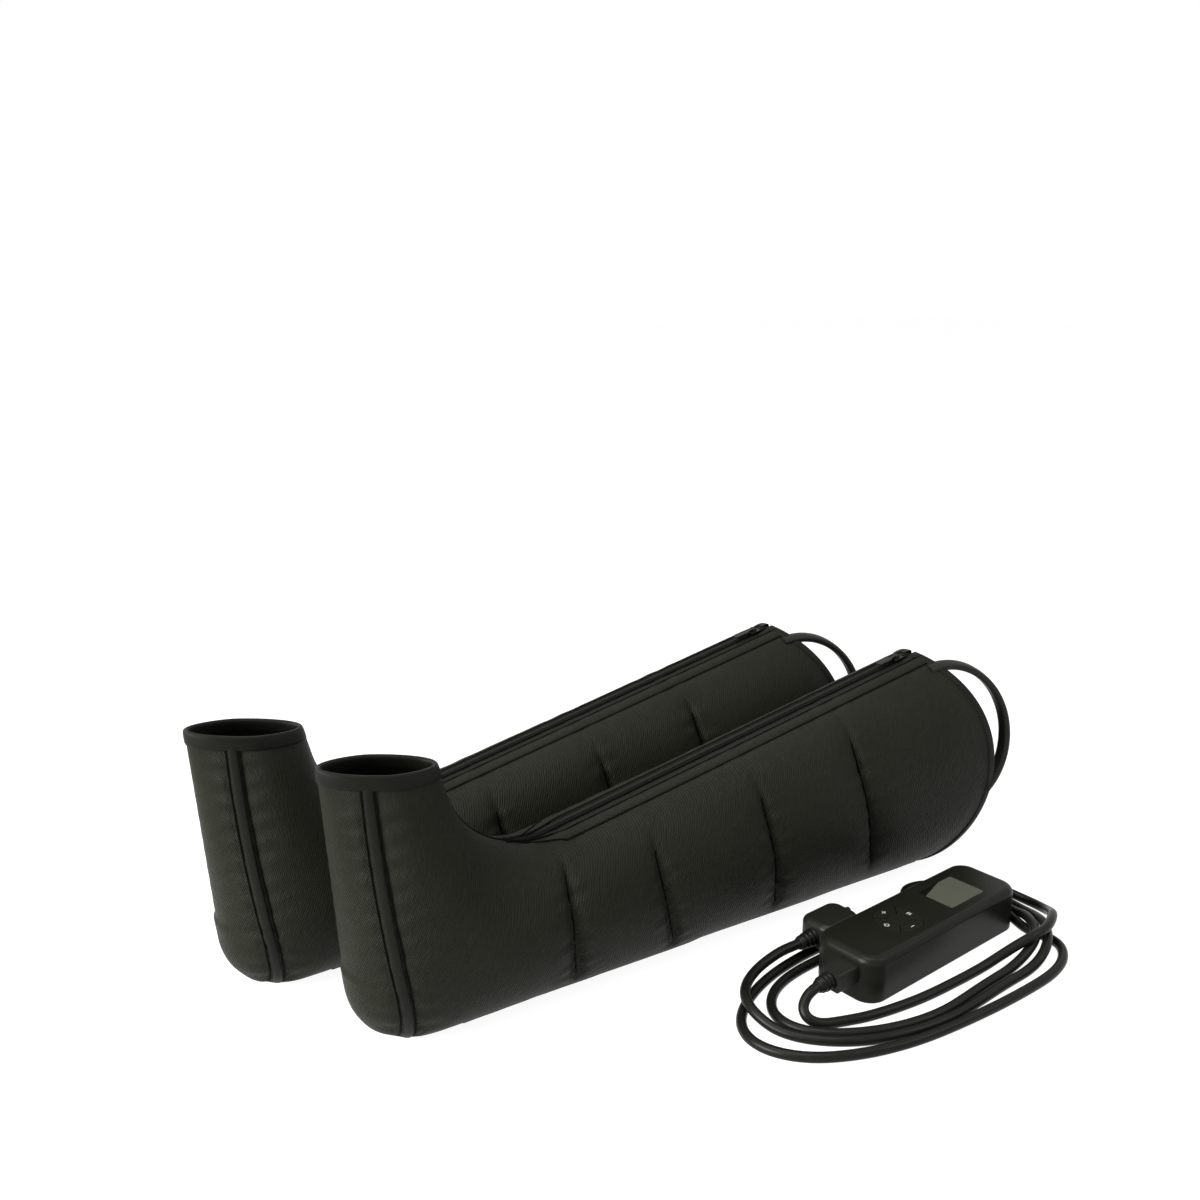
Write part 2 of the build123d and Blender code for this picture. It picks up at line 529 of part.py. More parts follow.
case_shell = rounded_case(0) - rounded_case(UNIT_WALL)
ceiling = UNIT_HEIGHT - UNIT_WALL
board_top = BOARD_HEIGHT + BOARD_THICK
screw_places = [(end * (half_length - UNIT_WALL - SCREW_INSET_X), side * (half_width - SCREW_INSET_Y))
                for end in (-1, 1) for side in (-1, 1)]
housing_top = case_shell & block(-BIG, BIG, -BIG, BIG, PARTING_HEIGHT, UNIT_HEIGHT + 1)
housing_base = case_shell & block(-BIG, BIG, -BIG, BIG, -1, PARTING_HEIGHT)
screws = []
for x, y in screw_places:
    housing_base += rod((x, y, UNIT_WALL / 2), UP, BOSS_RADIUS, PARTING_HEIGHT - UNIT_WALL / 2)
    housing_base -= rod((x, y, -1), UP, SCREW_RADIUS + FIT, PARTING_HEIGHT + 2)
    housing_base -= rod((x, y, -1), UP, SCREW_HEAD_RADIUS + FIT, 1 + SCREW_HEAD_DEPTH)
    housing_top += rod((x, y, PARTING_HEIGHT), UP, BOSS_RADIUS, ceiling + UNIT_WALL / 2 - PARTING_HEIGHT)
    pilot_depth = SCREW_LENGTH - PARTING_HEIGHT + 2
    housing_top -= rod((x, y, PARTING_HEIGHT - 1), UP, SCREW_RADIUS + SHAFT_FIT, pilot_depth)
    screw = rod((x, y, FIT), UP, SCREW_HEAD_RADIUS, SCREW_HEAD_DEPTH - FIT)
    screw += rod((x, y, SCREW_HEAD_DEPTH - 1), UP, SCREW_RADIUS, SCREW_LENGTH - SCREW_HEAD_DEPTH + 1)
    screws.append(screw)
unit["housing_screws"] = Compound(screws)

# circuit board, hung from posts in the top shell and cut round its screw bosses
for x in POST_PLACES:
    for side in (-1, 1):
        y = side * (BOARD_WIDTH / 2 - POST_RADIUS - SEAT)
        housing_top += rod((x, y, board_top), UP, POST_RADIUS, ceiling + UNIT_WALL / 2 - board_top)
board = Pos(BOARD_X, 0, BOARD_HEIGHT + BOARD_THICK / 2) * Box(BOARD_LENGTH, BOARD_WIDTH, BOARD_THICK)
for x, y in screw_places:
    board -= rod((x, y, BOARD_HEIGHT - 1), UP, BOSS_RADIUS + FIT, BOARD_THICK + 2)
unit["circuit_board"] = board

# window let into the top, and the display module between it and the board
window_low = UNIT_HEIGHT - WINDOW_THICK
view_length, view_width = WINDOW_LENGTH - 2 * WINDOW_LEDGE, WINDOW_WIDTH - 2 * WINDOW_LEDGE
housing_top -= plate(WINDOW_X, view_length, view_width, 1.0, ceiling - 1, UNIT_HEIGHT + 1)
housing_top -= plate(WINDOW_X, WINDOW_LENGTH + 2 * SEAT, WINDOW_WIDTH + 2 * SEAT, WINDOW_CORNER + SEAT,
                     window_low, UNIT_HEIGHT + 1)
unit["display_window"] = plate(WINDOW_X, WINDOW_LENGTH, WINDOW_WIDTH, WINDOW_CORNER, window_low, UNIT_HEIGHT)
unit["display"] = plate(WINDOW_X, view_length - 2 * FIT, view_width - 2 * FIT, 0.8,
                        board_top, window_low - FIT)

# key pad: four quarter-ring keys round a centre key, over a rubber sheet with a dome under each
housing_top -= rod((PAD_X, 0, ceiling - 1), UP, PAD_RADIUS + FIT, UNIT_WALL + 2)
key_low = UNIT_HEIGHT - KEY_THICK
centre_flange_top = key_low - KEY_TRAVEL - FIT
centre_low = centre_flange_top - KEY_FLANGE_THICK
press_room = KEY_TRAVEL + SEAT


def disc(radius, low, high):
    """An upright cylinder on the key pad's centre."""
    return rod((PAD_X, 0, low), UP, radius, high - low)


ring = disc(PAD_RADIUS, key_low, UNIT_HEIGHT)
ring += disc(PAD_RADIUS + KEY_FLANGE, key_low, key_low + KEY_FLANGE_THICK)
ring -= disc(CENTRE_KEY_RADIUS + FIT, key_low - 1, UNIT_HEIGHT + 1)
reach = 2 * PAD_RADIUS
wedge = Polyline((KEY_SPLIT, 0, 0), (reach + KEY_SPLIT, reach, 0), (reach + KEY_SPLIT, -reach, 0), close=True)
wedge = extrude(make_face(wedge.edges()), 2 * UNIT_HEIGHT, dir=UP)
sheet = disc(PAD_RADIUS + SHEET_MARGIN, board_top, board_top + SHEET_THICK)
sheet += disc(DOME_RADIUS, board_top, centre_low - press_room)
dome_reach = (CENTRE_KEY_RADIUS + PAD_RADIUS) / 2 + KEY_FLANGE
for turn, name in ((0, "key_mode"), (90, "key_plus"), (180, "key_power"), (270, "key_minus")):
    unit[name] = ring & (Pos(PAD_X, 0, 0) * Rot(0, 0, turn) * wedge)
    dome = (PAD_X + dome_reach * cos(radians(turn)), dome_reach * sin(radians(turn)), board_top)
    sheet += rod(dome, UP, DOME_RADIUS, key_low - press_room - board_top)
unit["key_centre"] = disc(CENTRE_KEY_RADIUS, centre_low, UNIT_HEIGHT) \
    + disc(CENTRE_KEY_RADIUS + KEY_FLANGE, centre_low, centre_flange_top)
unit["key_sheet"] = sheet

# ---------------------------------------------------------------- pump unit: air side
motor_z = UNIT_WALL + FIT + max(MOTOR_RADIUS, PUMP_CASE_SIDE / 2)
case_x = MOTOR_X - PUMP_CASE_LENGTH
head_x = case_x - PUMP_HEAD_LENGTH
motor = rod((MOTOR_X, 0, motor_z), (1, 0, 0), MOTOR_RADIUS, MOTOR_LENGTH)
motor -= rod((MOTOR_X - 1, 0, motor_z), (1, 0, 0), SHAFT_RADIUS + SHAFT_FIT, SHAFT_IN_MOTOR + 1)
unit["pump_motor"] = motor

# shaft with its crank, in the crank room of the pump's case
crank_x = case_x + 2
rotor = rod((crank_x, 0, motor_z), (1, 0, 0), SHAFT_RADIUS, MOTOR_X - crank_x + SHAFT_IN_MOTOR - FIT)
rotor += rod((crank_x, 0, motor_z + CAM_OFFSET), (1, 0, 0), CAM_RADIUS, CAM_THICK)
unit["pump_rotor"] = rotor
side = PUMP_CASE_SIDE / 2
pump_case = block(case_x, MOTOR_X, -side, side, motor_z - side, motor_z + side)
pump_case -= rod((case_x - 1, 0, motor_z), (1, 0, 0), CRANK_ROOM, crank_x + CAM_THICK + 2 - case_x)
pump_case -= rod((case_x, 0, motor_z), (1, 0, 0), SHAFT_RADIUS + FIT, PUMP_CASE_LENGTH + 1)
unit["pump_case"] = pump_case
unit["pump_head"] = block(head_x, case_x, -side, side, motor_z - side, motor_z + side)
for rib_x in (MOTOR_X + 2 * MOTOR_RIB, MOTOR_X + MOTOR_LENGTH - 3 * MOTOR_RIB):
    rib = block(rib_x, rib_x + MOTOR_RIB, -MOTOR_RADIUS - 2, MOTOR_RADIUS + 2,
                UNIT_WALL / 2, PARTING_HEIGHT - 1)
    housing_base += rib - rod((rib_x - 1, 0, motor_z), (1, 0, 0), MOTOR_RADIUS + SEAT, MOTOR_RIB + 2)

# hose socket behind the end wall, and the slot in the wall for the plug's tongue
mouth_width, mouth_height = TONGUE_WIDTH / 2 + FIT, TONGUE_HEIGHT / 2 + FIT
socket_front = -half_length + UNIT_WALL
socket_back = socket_front + SOCKET_DEPTH
socket_low = PLUG_Z - mouth_height - SOCKET_WALL
slot = block(-half_length - 1, -half_length + TONGUE_LENGTH + FIT, PLUG_Y - mouth_width, PLUG_Y + mouth_width,
             PLUG_Z - mouth_height, PLUG_Z + mouth_height)
socket_high = PLUG_Z + mouth_height + SOCKET_WALL
socket_half = mouth_width + SOCKET_WALL
hose_socket = block(socket_front, socket_back, PLUG_Y - socket_half, PLUG_Y + socket_half,
                    socket_low, socket_high)
unit["hose_socket"] = hose_socket - slot
housing_top -= slot

# valve block on the floor with three solenoid valves on it, and the short tubes to the head and the socket
block_front = (socket_front + socket_back) / 2 - TUBE_RADIUS - 1
block_back = head_x - 2
valve_low = UNIT_WALL + VALVE_BLOCK_HEIGHT
unit["valve_block"] = block(block_front, block_back, -VALVE_BLOCK_HALF, VALVE_BLOCK_HALF,
                            UNIT_WALL, valve_low)
valve_x = block_back - VALVE_SIZE[0] / 2 - 1.5
unit["air_valves"] = Compound([
    Pos(valve_x, row * VALVE_PITCH, valve_low + VALVE_SIZE[2] / 2) * Box(*VALVE_SIZE) for row in (-1, 0, 1)])
socket_tube_x = block_front + TUBE_RADIUS + 1
unit["inner_tubes"] = Compound([
    rod((block_back, 0, UNIT_WALL + VALVE_BLOCK_HEIGHT / 2), (1, 0, 0), TUBE_RADIUS, head_x - block_back),
    rod((socket_tube_x, PLUG_Y, valve_low), UP, TUBE_RADIUS, socket_low - valve_low)])

# battery under the display: two cells side by side in one wrap
battery_z = UNIT_WALL + BATTERY_RADIUS
battery_row = BATTERY_RADIUS + SEAT
battery_start = BATTERY_X - BATTERY_LENGTH / 2
battery = block(battery_start, battery_start + BATTERY_LENGTH, -battery_row, battery_row,
                battery_z - BATTERY_RADIUS, battery_z + BATTERY_RADIUS)
for row in (-1, 1):
    battery += rod((battery_start, row * battery_row, battery_z), (1, 0, 0), BATTERY_RADIUS, BATTERY_LENGTH)
unit["battery"] = battery

# charging socket under the board's end, let into the end wall
jack_z = BOARD_HEIGHT - JACK_HEIGHT / 2
jack_end = half_length - SEAT


def jack_slug(start, depth, grow):
    """A flat-sided rounded bar running in from a point on the end wall."""
    plane = Plane(origin=(start, 0, jack_z), x_dir=(0, 1, 0), z_dir=(-1, 0, 0))
    outline = RectangleRounded(JACK_WIDTH + 2 * grow, JACK_HEIGHT + 2 * grow, JACK_ROUND + grow)
    return extrude(plane * outline, depth)


jack = jack_slug(jack_end, JACK_LENGTH, 0) - jack_slug(jack_end, JACK_LENGTH - JACK_WALL, -JACK_WALL)
tongue = (JACK_WIDTH / 2 - 3 * JACK_WALL, JACK_WALL)
jack += block(jack_end - JACK_LENGTH + JACK_WALL / 2, jack_end - 2 * JACK_WALL, -tongue[0], tongue[0],
              jack_z - tongue[1], jack_z + tongue[1])
unit["charge_socket"] = jack
housing_top -= jack_slug(half_length + 1, UNIT_WALL + 2, SEAT)
unit["housing_top"] = housing_top
unit["housing_base"] = housing_base

# ---------------------------------------------------------------- hose plugs
plug_end = -half_length - PLUG_LENGTH
plug = Pos(-half_length - PLUG_LENGTH / 2, PLUG_Y, PLUG_Z) * Box(PLUG_LENGTH, PLUG_WIDTH, PLUG_HEIGHT)
plug = fillet(plug.edges().filter_by(Axis.X), PLUG_ROUND)
plug += block(-half_length - 1, -half_length + TONGUE_LENGTH, PLUG_Y - TONGUE_WIDTH / 2,
              PLUG_Y + TONGUE_WIDTH / 2, PLUG_Z - TONGUE_HEIGHT / 2, PLUG_Z + TONGUE_HEIGHT / 2)
unit["pump_plug"] = plug


def strain_relief(x, y, z, length, rings):
    """A tapered rubber boot that points along -x, with moulded rings."""
    tip = HOSE_DIAMETER / 2 + RELIEF_WALL
    plane = Plane(origin=(x, y, z), z_dir=(-1, 0, 0))
    boot = plane * Cone(RELIEF_RADIUS, tip, length, align=(Align.CENTER, Align.CENTER, Align.MIN))
    pitch = length / rings
    for ring_number in range(rings):
        place = (ring_number + 0.35) * pitch
        taper = (tip - RELIEF_RADIUS) * place / length
        boot += rod((x - place, y, z), (-1, 0, 0), RELIEF_RADIUS + taper + RELIEF_WALL, pitch / 2)
    return boot


unit["pump_plug_relief"] = strain_relief(plug_end, PLUG_Y, PLUG_Z, RELIEF_LENGTH, 3)

far_back = FAR_PLUG_X - FAR_PLUG_LENGTH / 2
far_front = FAR_PLUG_X + FAR_PLUG_LENGTH / 2
far_low = COIL_LAYER + SEAT
far_middle = far_low + FAR_PLUG_HEIGHT / 2
far_relief_z = far_middle - FAR_RELIEF_DROP
far_plug = Pos(FAR_PLUG_X, FAR_PLUG_Y, far_middle) * Box(FAR_PLUG_LENGTH, FAR_PLUG_WIDTH, FAR_PLUG_HEIGHT)
far_plug = fillet(far_plug.edges().filter_by(Axis.Z), FAR_PLUG_CORNER)
far_plug = fillet(far_plug.faces().sort_by(Axis.Z)[-1].edges(), FAR_PLUG_CROWN)
unit["sleeve_plug"] = fillet(far_plug.faces().sort_by(Axis.Z)[0].edges(), FAR_PLUG_CROWN / 2)
unit["sleeve_plug_relief"] = strain_relief(far_back, FAR_PLUG_Y, far_relief_z, FAR_RELIEF_LENGTH, 5)
nozzles = [rod((far_front, FAR_PLUG_Y + row * NOZZLE_SPACING / 2, far_middle), (1, 0, 0),
               NOZZLE_RADIUS, NOZZLE_LENGTH) for row in (-1, 1)]
unit["sleeve_nozzles"] = Compound(nozzles)

unit_place = Location((0, 0, 0), (0, 0, UNIT_TURN))
for name, shape in unit.items():
    parts[name] = unit_place * shape

# ---------------------------------------------------------------- hose


def hose_run(start, points):
    """A hose's tube: straight runs joined by the largest tangent arcs they allow."""
    route = [Vector(*start)] + [Vector(*point) for point in points]
    radii = []
    for before, here, after in zip(route, route[1:], route[2:]):
        turn = radians((here - before).get_angle(after - here))
        shorter = min((here - before).length, (after - here).length)
        radii.append(0.45 * shorter / tan(turn / 2))
    path = FilletPolyline(*route, radius=radii)
    tube = sweep(Plane(origin=path @ 0, z_dir=path % 0) * Circle(HOSE_DIAMETER / 2), path=path)
    expected = pi * (HOSE_DIAMETER / 2) ** 2 * path.length
    print("hose radii", [round(radius, 1) for radius in radii], "length", round(path.length, 1),
          "volume ratio", round(tube.volume / expected, 4))
    return tube


def on_unit(x, y, z):
    """A point of the unit's frame, turned with the unit."""
    return (unit_place * Pos(x, y, z)).position


parts["hose_lead"] = hose_run(on_unit(plug_end - RELIEF_LENGTH, PLUG_Y, PLUG_Z), LEAD_POINTS)
parts["hose_tail"] = hose_run(on_unit(far_back - FAR_RELIEF_LENGTH, FAR_PLUG_Y, far_relief_z), TAIL_POINTS)

# the loose turns round the unit as one closed ring, deeper where turns cross
outside = make_face(Spline(*RING_OUTSIDE, periodic=True))
inside = make_face(Spline(*RING_INSIDE, periodic=True))
layers = [extrude(outside, count * COIL_LAYER) - extrude(inside, count * COIL_LAYER) for count in (1, 2, 3)]
tall = 4 * COIL_LAYER
parts["hose_coil"] = layers[0] \
    + (layers[1] & block(-2 * BIG, RAISED_LEFT, -BIG, BIG, -1, tall)) \
    + (layers[1] & block(RAISED_FRONT, 2 * BIG, -BIG, 0, -1, tall)) \
    + (layers[1] & block(RAISED_BACK, 2 * BIG, 0, BIG, -1, tall)) \
    + (layers[2] & block(CROSSING[0], CROSSING[1], -BIG, CROSSING[2], -1, tall))

os.makedirs("parts", exist_ok=True)
for name, shape in parts.items():
    export_step(shape, f"parts/{name}.step")
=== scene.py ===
from math import cos, pi, radians, sin

import bpy
import numpy as np
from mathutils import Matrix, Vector


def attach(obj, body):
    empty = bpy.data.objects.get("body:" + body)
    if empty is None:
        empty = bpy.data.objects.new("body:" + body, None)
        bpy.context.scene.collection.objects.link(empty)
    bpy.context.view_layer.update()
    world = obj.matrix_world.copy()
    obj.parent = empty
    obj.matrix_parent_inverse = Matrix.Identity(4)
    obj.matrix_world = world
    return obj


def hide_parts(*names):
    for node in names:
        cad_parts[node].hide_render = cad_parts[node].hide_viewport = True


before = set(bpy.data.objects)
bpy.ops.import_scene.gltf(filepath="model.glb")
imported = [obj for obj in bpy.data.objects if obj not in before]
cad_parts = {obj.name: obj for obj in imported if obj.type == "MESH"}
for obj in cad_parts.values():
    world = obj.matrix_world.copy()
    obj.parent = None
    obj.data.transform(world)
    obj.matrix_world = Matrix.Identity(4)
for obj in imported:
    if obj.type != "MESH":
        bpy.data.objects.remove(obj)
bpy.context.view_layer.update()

# Metres in the scene, millimetres in the pieces' own sizes.  +X runs along the sleeves from toe
# to knee, +Y from the pump unit towards the sleeves, +Z is up, and the floor is z = 0.


# ---------------------------------------------------------------- studio
# A plain pale floor that runs out of sight, soft boxes on three sides and overhead, and the
# camera, which looks over the pump unit at the near sleeve.

class Signal:
    """One socket of a node tree.  Arithmetic on signals adds Math nodes."""

    def __init__(self, tree, socket=None):
        self.tree, self.socket = tree, socket

    def make(self, kind, settings=None, inputs=None, output=0):
        """Adds a node with its settings, then the values or links of its inputs."""
        node = self.tree.nodes.new(kind)
        for name, value in (settings or {}).items():
            setattr(node, name, value)
        for name, value in (inputs or {}).items():
            if isinstance(value, Signal):
                self.tree.links.new(value.socket, node.inputs[name])
            else:
                node.inputs[name].default_value = value
        return Signal(self.tree, node.outputs[output] if len(node.outputs) else None)

    def math(self, operation, *values):
        return self.make("ShaderNodeMath", {"operation": operation}, dict(enumerate(values)))

    def __add__(self, other):
        return self.math("ADD", self, other)

    def __sub__(self, other):
        return self.math("SUBTRACT", self, other)

    def __rsub__(self, other):
        return self.math("SUBTRACT", other, self)

    def __mul__(self, other):
        return self.math("MULTIPLY", self, other)

    __radd__ = __add__
    __rmul__ = __mul__

    def larger(self, other):
        return self.math("MAXIMUM", self, other)

    def sine(self):
        return self.math("SINE", self)

    def blend(self, low, high):
        """A colour between two, by this signal."""
        settings = {"data_type": "RGBA"}
        inputs = {0: self, 6: (*low, 1), 7: (*high, 1)}
        return self.make("ShaderNodeMix", settings, inputs, output=2)

    def grain(self, scale, detail=2.0, coordinates=None):
        """Noise over the object, from 0 to 1."""
        inputs = {"Vector": coordinates or self.make("ShaderNodeTexCoord", output=3),
                  "Scale": scale, "Detail": detail}
        return self.make("ShaderNodeTexNoise", None, inputs)

    def bump(self, strength, depth):
        """A surface normal from this signal as a height, with its depth in metres."""
        inputs = {"Strength": strength, "Distance": depth, "Height": self}
        return self.make("ShaderNodeBump", None, inputs)

    def direct_rays(self):
        """1 for what is seen straight, mirrored or through a surface, and 0 for other light."""
        seen, mirrored, through = (self.make("ShaderNodeLightPath", output=output)
                                   for output in (0, 3, 6))
        return seen.larger(mirrored).larger(through)

    def principled(self, inputs):
        """Ends a material in one Principled shader."""
        shader = self.make("ShaderNodeBsdfPrincipled", None, inputs)
        self.make("ShaderNodeOutputMaterial", None, {"Surface": shader})


def blank_material(name):
    material = bpy.data.materials.new(name)
    material.use_nodes = True
    material.node_tree.nodes.clear()
    return material, Signal(material.node_tree)


def mesh_piece(name, points, faces):
    mesh = bpy.data.meshes.new(name)
    mesh.from_pydata([tuple(point) for point in points], [], faces)
    piece = bpy.data.objects.new(name, mesh)
    bpy.context.collection.objects.link(piece)
    return piece


WHITE = (1, 1, 1, 1)
FLOOR_REACH, FLOOR_DROP = 6.0, 0.0002
FLOOR_WHITE, FLOOR_GLOW = 0.75, 1.24      # share of the floor seen as plain white, and how bright
PAPER_SHADE = (0.85, 0.85, 0.85, 1)
corners = [(x * FLOOR_REACH, y * FLOOR_REACH, -FLOOR_DROP)
           for x, y in ((-1, -1), (1, -1), (1, 1), (-1, 1))]
floor = mesh_piece("floor", corners, [(0, 1, 2, 3)])
paper, sheet = blank_material("paper")
matt = sheet.make("ShaderNodeBsdfDiffuse", None, {"Color": PAPER_SHADE})
plain = sheet.make("ShaderNodeEmission", None, {"Color": WHITE, "Strength": FLOOR_GLOW})
layers = {0: sheet.direct_rays() * FLOOR_WHITE, 1: matt, 2: plain}
sheet.make("ShaderNodeOutputMaterial", None,
           {"Surface": sheet.make("ShaderNodeMixShader", None, layers)})
floor.data.materials.append(paper)

SKY_LIGHT = 0.28                          # light that the sky gives, though it is seen as white
world = bpy.data.worlds.new("studio")
world.use_nodes = True
world.node_tree.nodes.clear()
sky = Signal(world.node_tree)
dim, bright = (sky.make("ShaderNodeBackground", None, {"Color": WHITE, "Strength": strength})
               for strength in (SKY_LIGHT, 1.0))
layers = {0: sky.direct_rays(), 1: dim, 2: bright}
sky.make("ShaderNodeOutputWorld", None,
         {"Surface": sky.make("ShaderNodeMixShader", None, layers)})
bpy.context.scene.world = world

OBJECT_MIDDLE = Vector((-0.13, 0.10, 0.05))
SOFT_BOXES = (                            # place, width and height, and power in watts
    ("toe_side_light", (-2.1, 0.15, 1.0), (1.4, 1.0), 125),
    ("overhead_light", (-0.45, -0.05, 1.7), (1.0, 0.8), 18),
    ("knee_side_light", (1.0, -1.05, 1.5), (0.7, 0.7), 9),
    ("back_light", (-1.0, 1.7, 1.05), (1.0, 0.5), 12))
for name, place, size, power in SOFT_BOXES:
    lamp = bpy.data.lights.new(name, "AREA")
    lamp.shape, lamp.size, lamp.size_y, lamp.energy = "RECTANGLE", size[0], size[1], power
    holder = bpy.data.objects.new(name, lamp)
    bpy.context.collection.objects.link(holder)
    holder.location = place
    holder.rotation_euler = (OBJECT_MIDDLE - Vector(place)).to_track_quat("-Z", "Y").to_euler()

CAMERA_PLACE = Vector((-0.6517, -0.5810, 0.4983))
CAMERA_BEARING = Vector((0.5443, 0.8389, 0))
CAMERA_PITCH = radians(15.55)
CAMERA_LENS, CAMERA_SENSOR, CAMERA_NEAREST = 39.0, 36.0, 0.01
heading = CAMERA_BEARING * cos(CAMERA_PITCH) - Vector((0, 0, sin(CAMERA_PITCH)))
lens = bpy.data.cameras.new("camera")
lens.lens, lens.sensor_width, lens.clip_start = CAMERA_LENS, CAMERA_SENSOR, CAMERA_NEAREST
camera = bpy.data.objects.new("camera", lens)
bpy.context.collection.objects.link(camera)
camera.location = CAMERA_PLACE
camera.rotation_euler = heading.to_track_quat("-Z", "Y").to_euler()
bpy.context.scene.camera = camera
bpy.context.scene.view_settings.view_transform = "Standard"


# ---------------------------------------------------------------- air hose
# One limp rubber hose, 7.1 mm thick.  It leaves the pump's plug, lies in four loose turns round
# the unit with one tight turn back behind it, and ends in the plug that feeds the sleeves.

HOSE_DIAMETER = 0.0071
HOSE_POINTS = (
    # out of the pump's plug and down to the floor
    (-116.37, -20.63, 20.3), (-122.3, -21.3, 19.4), (-128.2, -22.4, 16.4), (-132.6, -25.0, 12.2),
    (-133.4, -29.6, 8.4), (-129.6, -34.3, 5.4), (-123.0, -37.2, 3.9), (-115.0, -39.6, 3.6),
    # inner run along the front, then up over the other turns at the unit's right end
    (-106, -42.4, 3.6), (-96, -45.2, 3.6), (-82, -47.5, 3.6), (-66, -49, 3.6), (-50, -49.8, 3.6),
    (-33, -49.5, 3.6), (-16, -48.5, 3.6), (2, -47.2, 3.6), (18, -46.5, 4.6), (33, -47.5, 8.5),
    (47, -50, 13.7), (61, -52.5, 18.0), (75, -51.5, 18.5), (88, -46, 18.5), (99.5, -38.5, 16.8),
    (110, -29.5, 11.0), (118, -19.5, 5.8), (121.5, -7, 3.7), (119.5, 6.5, 4.2),
    # first pass behind the unit, from the outer lane to the inner
    (114, 19, 6.8), (105.5, 31, 10.9), (93.5, 41, 10.9), (79, 47.5, 10.9), (64, 49.2, 10.9),
    (49, 47.8, 10.9), (34, 46, 10.9), (19, 43.5, 10.9), (4, 40, 10.9), (-11, 35.8, 10.9),
    (-26, 31.6, 8.8), (-42, 28.2, 5.2), (-59, 25.8, 3.6), (-76, 24, 3.6), (-93, 22, 3.6),
    (-109.5, 18.3, 3.6), (-124.5, 12, 3.6),
    # inner of three turns at the left, then the front and the inner turn at the right
    (-136.5, 2.5, 3.6), (-144, -9.5, 3.6), (-145, -23, 3.6), (-139.5, -35.5, 3.6),
    (-129.3, -45.8, 3.6), (-116, -54, 3.6), (-100.5, -60.7, 3.6), (-83, -65.8, 3.6),
    (-63.5, -68.7, 3.6), (-44, -68.8, 3.6), (-25, -66.2, 3.6), (-6, -63, 3.6), (12, -60.5, 3.6),
    (28, -58.5, 3.6), (43, -56.5, 6.0), (57, -53.5, 9.5), (69, -48.3, 10.9), (79, -40.5, 10.9),
    (87.2, -29.8, 10.9), (94.6, -17.5, 8.4), (98.8, -5, 3.8), (98.8, 8.5, 4.7),
    # second pass behind the unit, against its back, then the outer lane
    (96.2, 20.5, 8.6), (88, 31.5, 10.9), (76.5, 39, 10.9), (62, 41.2, 10.9), (47.5, 40.2, 10.9),
    (33, 38.8, 9.4), (18.5, 37.3, 5.6), (4, 36.5, 3.6), (-11, 36.6, 3.6), (-26, 37.4, 3.6),
    (-42, 37.9, 3.6), (-59, 37.2, 3.6), (-76, 35.4, 3.6), (-93, 32.6, 3.6), (-110, 28.6, 3.6),
    (-127, 22.8, 3.6), (-143.5, 15, 3.6), (-158.5, 5, 3.6),
    # outermost turn at the left and along the front, inside the others at the right
    (-170, -7, 3.6), (-175.5, -21, 3.6), (-174, -36, 3.6), (-165.5, -50, 3.6),
    (-152.5, -61.3, 3.6), (-136, -69.7, 3.6), (-118, -76, 3.6), (-99, -80.3, 3.6),
    (-79, -83, 3.6), (-58, -84, 3.6), (-37, -84.2, 3.6), (-16, -84, 3.6), (5, -83, 3.6),
    (25, -81.5, 3.6), (43.5, -79.5, 3.6), (60.5, -75.5, 3.6), (75.5, -68.5, 3.6),
    (86.5, -58, 3.6), (89.5, -46.5, 3.6), (86.5, -36, 3.6), (85.5, -25.5, 3.6), (88.7, -15, 3.6),
    (91.8, -4, 3.6), (91.2, 8.5, 3.6),
    # tight turn back, behind the unit's right end
    (89.9, 21, 3.6), (85.8, 33.5, 3.6), (75.5, 39.9, 3.6), (63, 39.6, 3.6), (52.5, 41.0, 3.6),
    (46.3, 47, 3.6), (45.3, 55, 3.6), (49.8, 62.2, 3.6), (58, 65.8, 3.6), (69, 64.3, 3.6),
    (81, 58, 3.6), (92.5, 48, 3.6), (100.8, 35, 3.6), (105.6, 20, 3.6), (106.8, 5, 3.6),
    # last turn: along the front, round the left, and up into the sleeves' plug
    (105.2, -8.5, 4.3), (101.4, -20.7, 7.2), (94.8, -33.2, 10.7), (86.5, -44.3, 10.9),
    (77, -53, 10.9), (65.5, -60, 9.0), (53, -64, 5.2), (38, -66.5, 3.6), (22, -68, 3.6),
    (5, -70, 3.6), (-12, -72.5, 3.6), (-30, -75, 3.6), (-49, -76.4, 3.6), (-68, -75.7, 3.6),
    (-87, -72.8, 3.6), (-105.5, -67.8, 3.6), (-121.5, -60.5, 3.6), (-136, -50.5, 3.6),
    (-148, -38, 3.6), (-156, -24, 4.6), (-159.5, -9, 8.8), (-156.5, 5, 11.2),
    (-147.5, 16.5, 11.0), (-135.5, 25, 10.9), (-122.5, 30.6, 11.6), (-110, 33.0, 13.3),
    (-98, 33.6, 15.4), (-85.58, 32.96, 15.9))

rubber, stuff = blank_material("hose_rubber")
bloom, pores = stuff.grain(90, 4.0), stuff.grain(2600, 2.0)
stuff.principled({"Base Color": bloom.blend((0.0028, 0.0030, 0.0020), (0.0068, 0.0072, 0.0054)),
                  "Roughness": 0.30 + bloom * 0.12, "Normal": pores.bump(0.25, 0.00005),
                  "Specular IOR Level": 0.11})

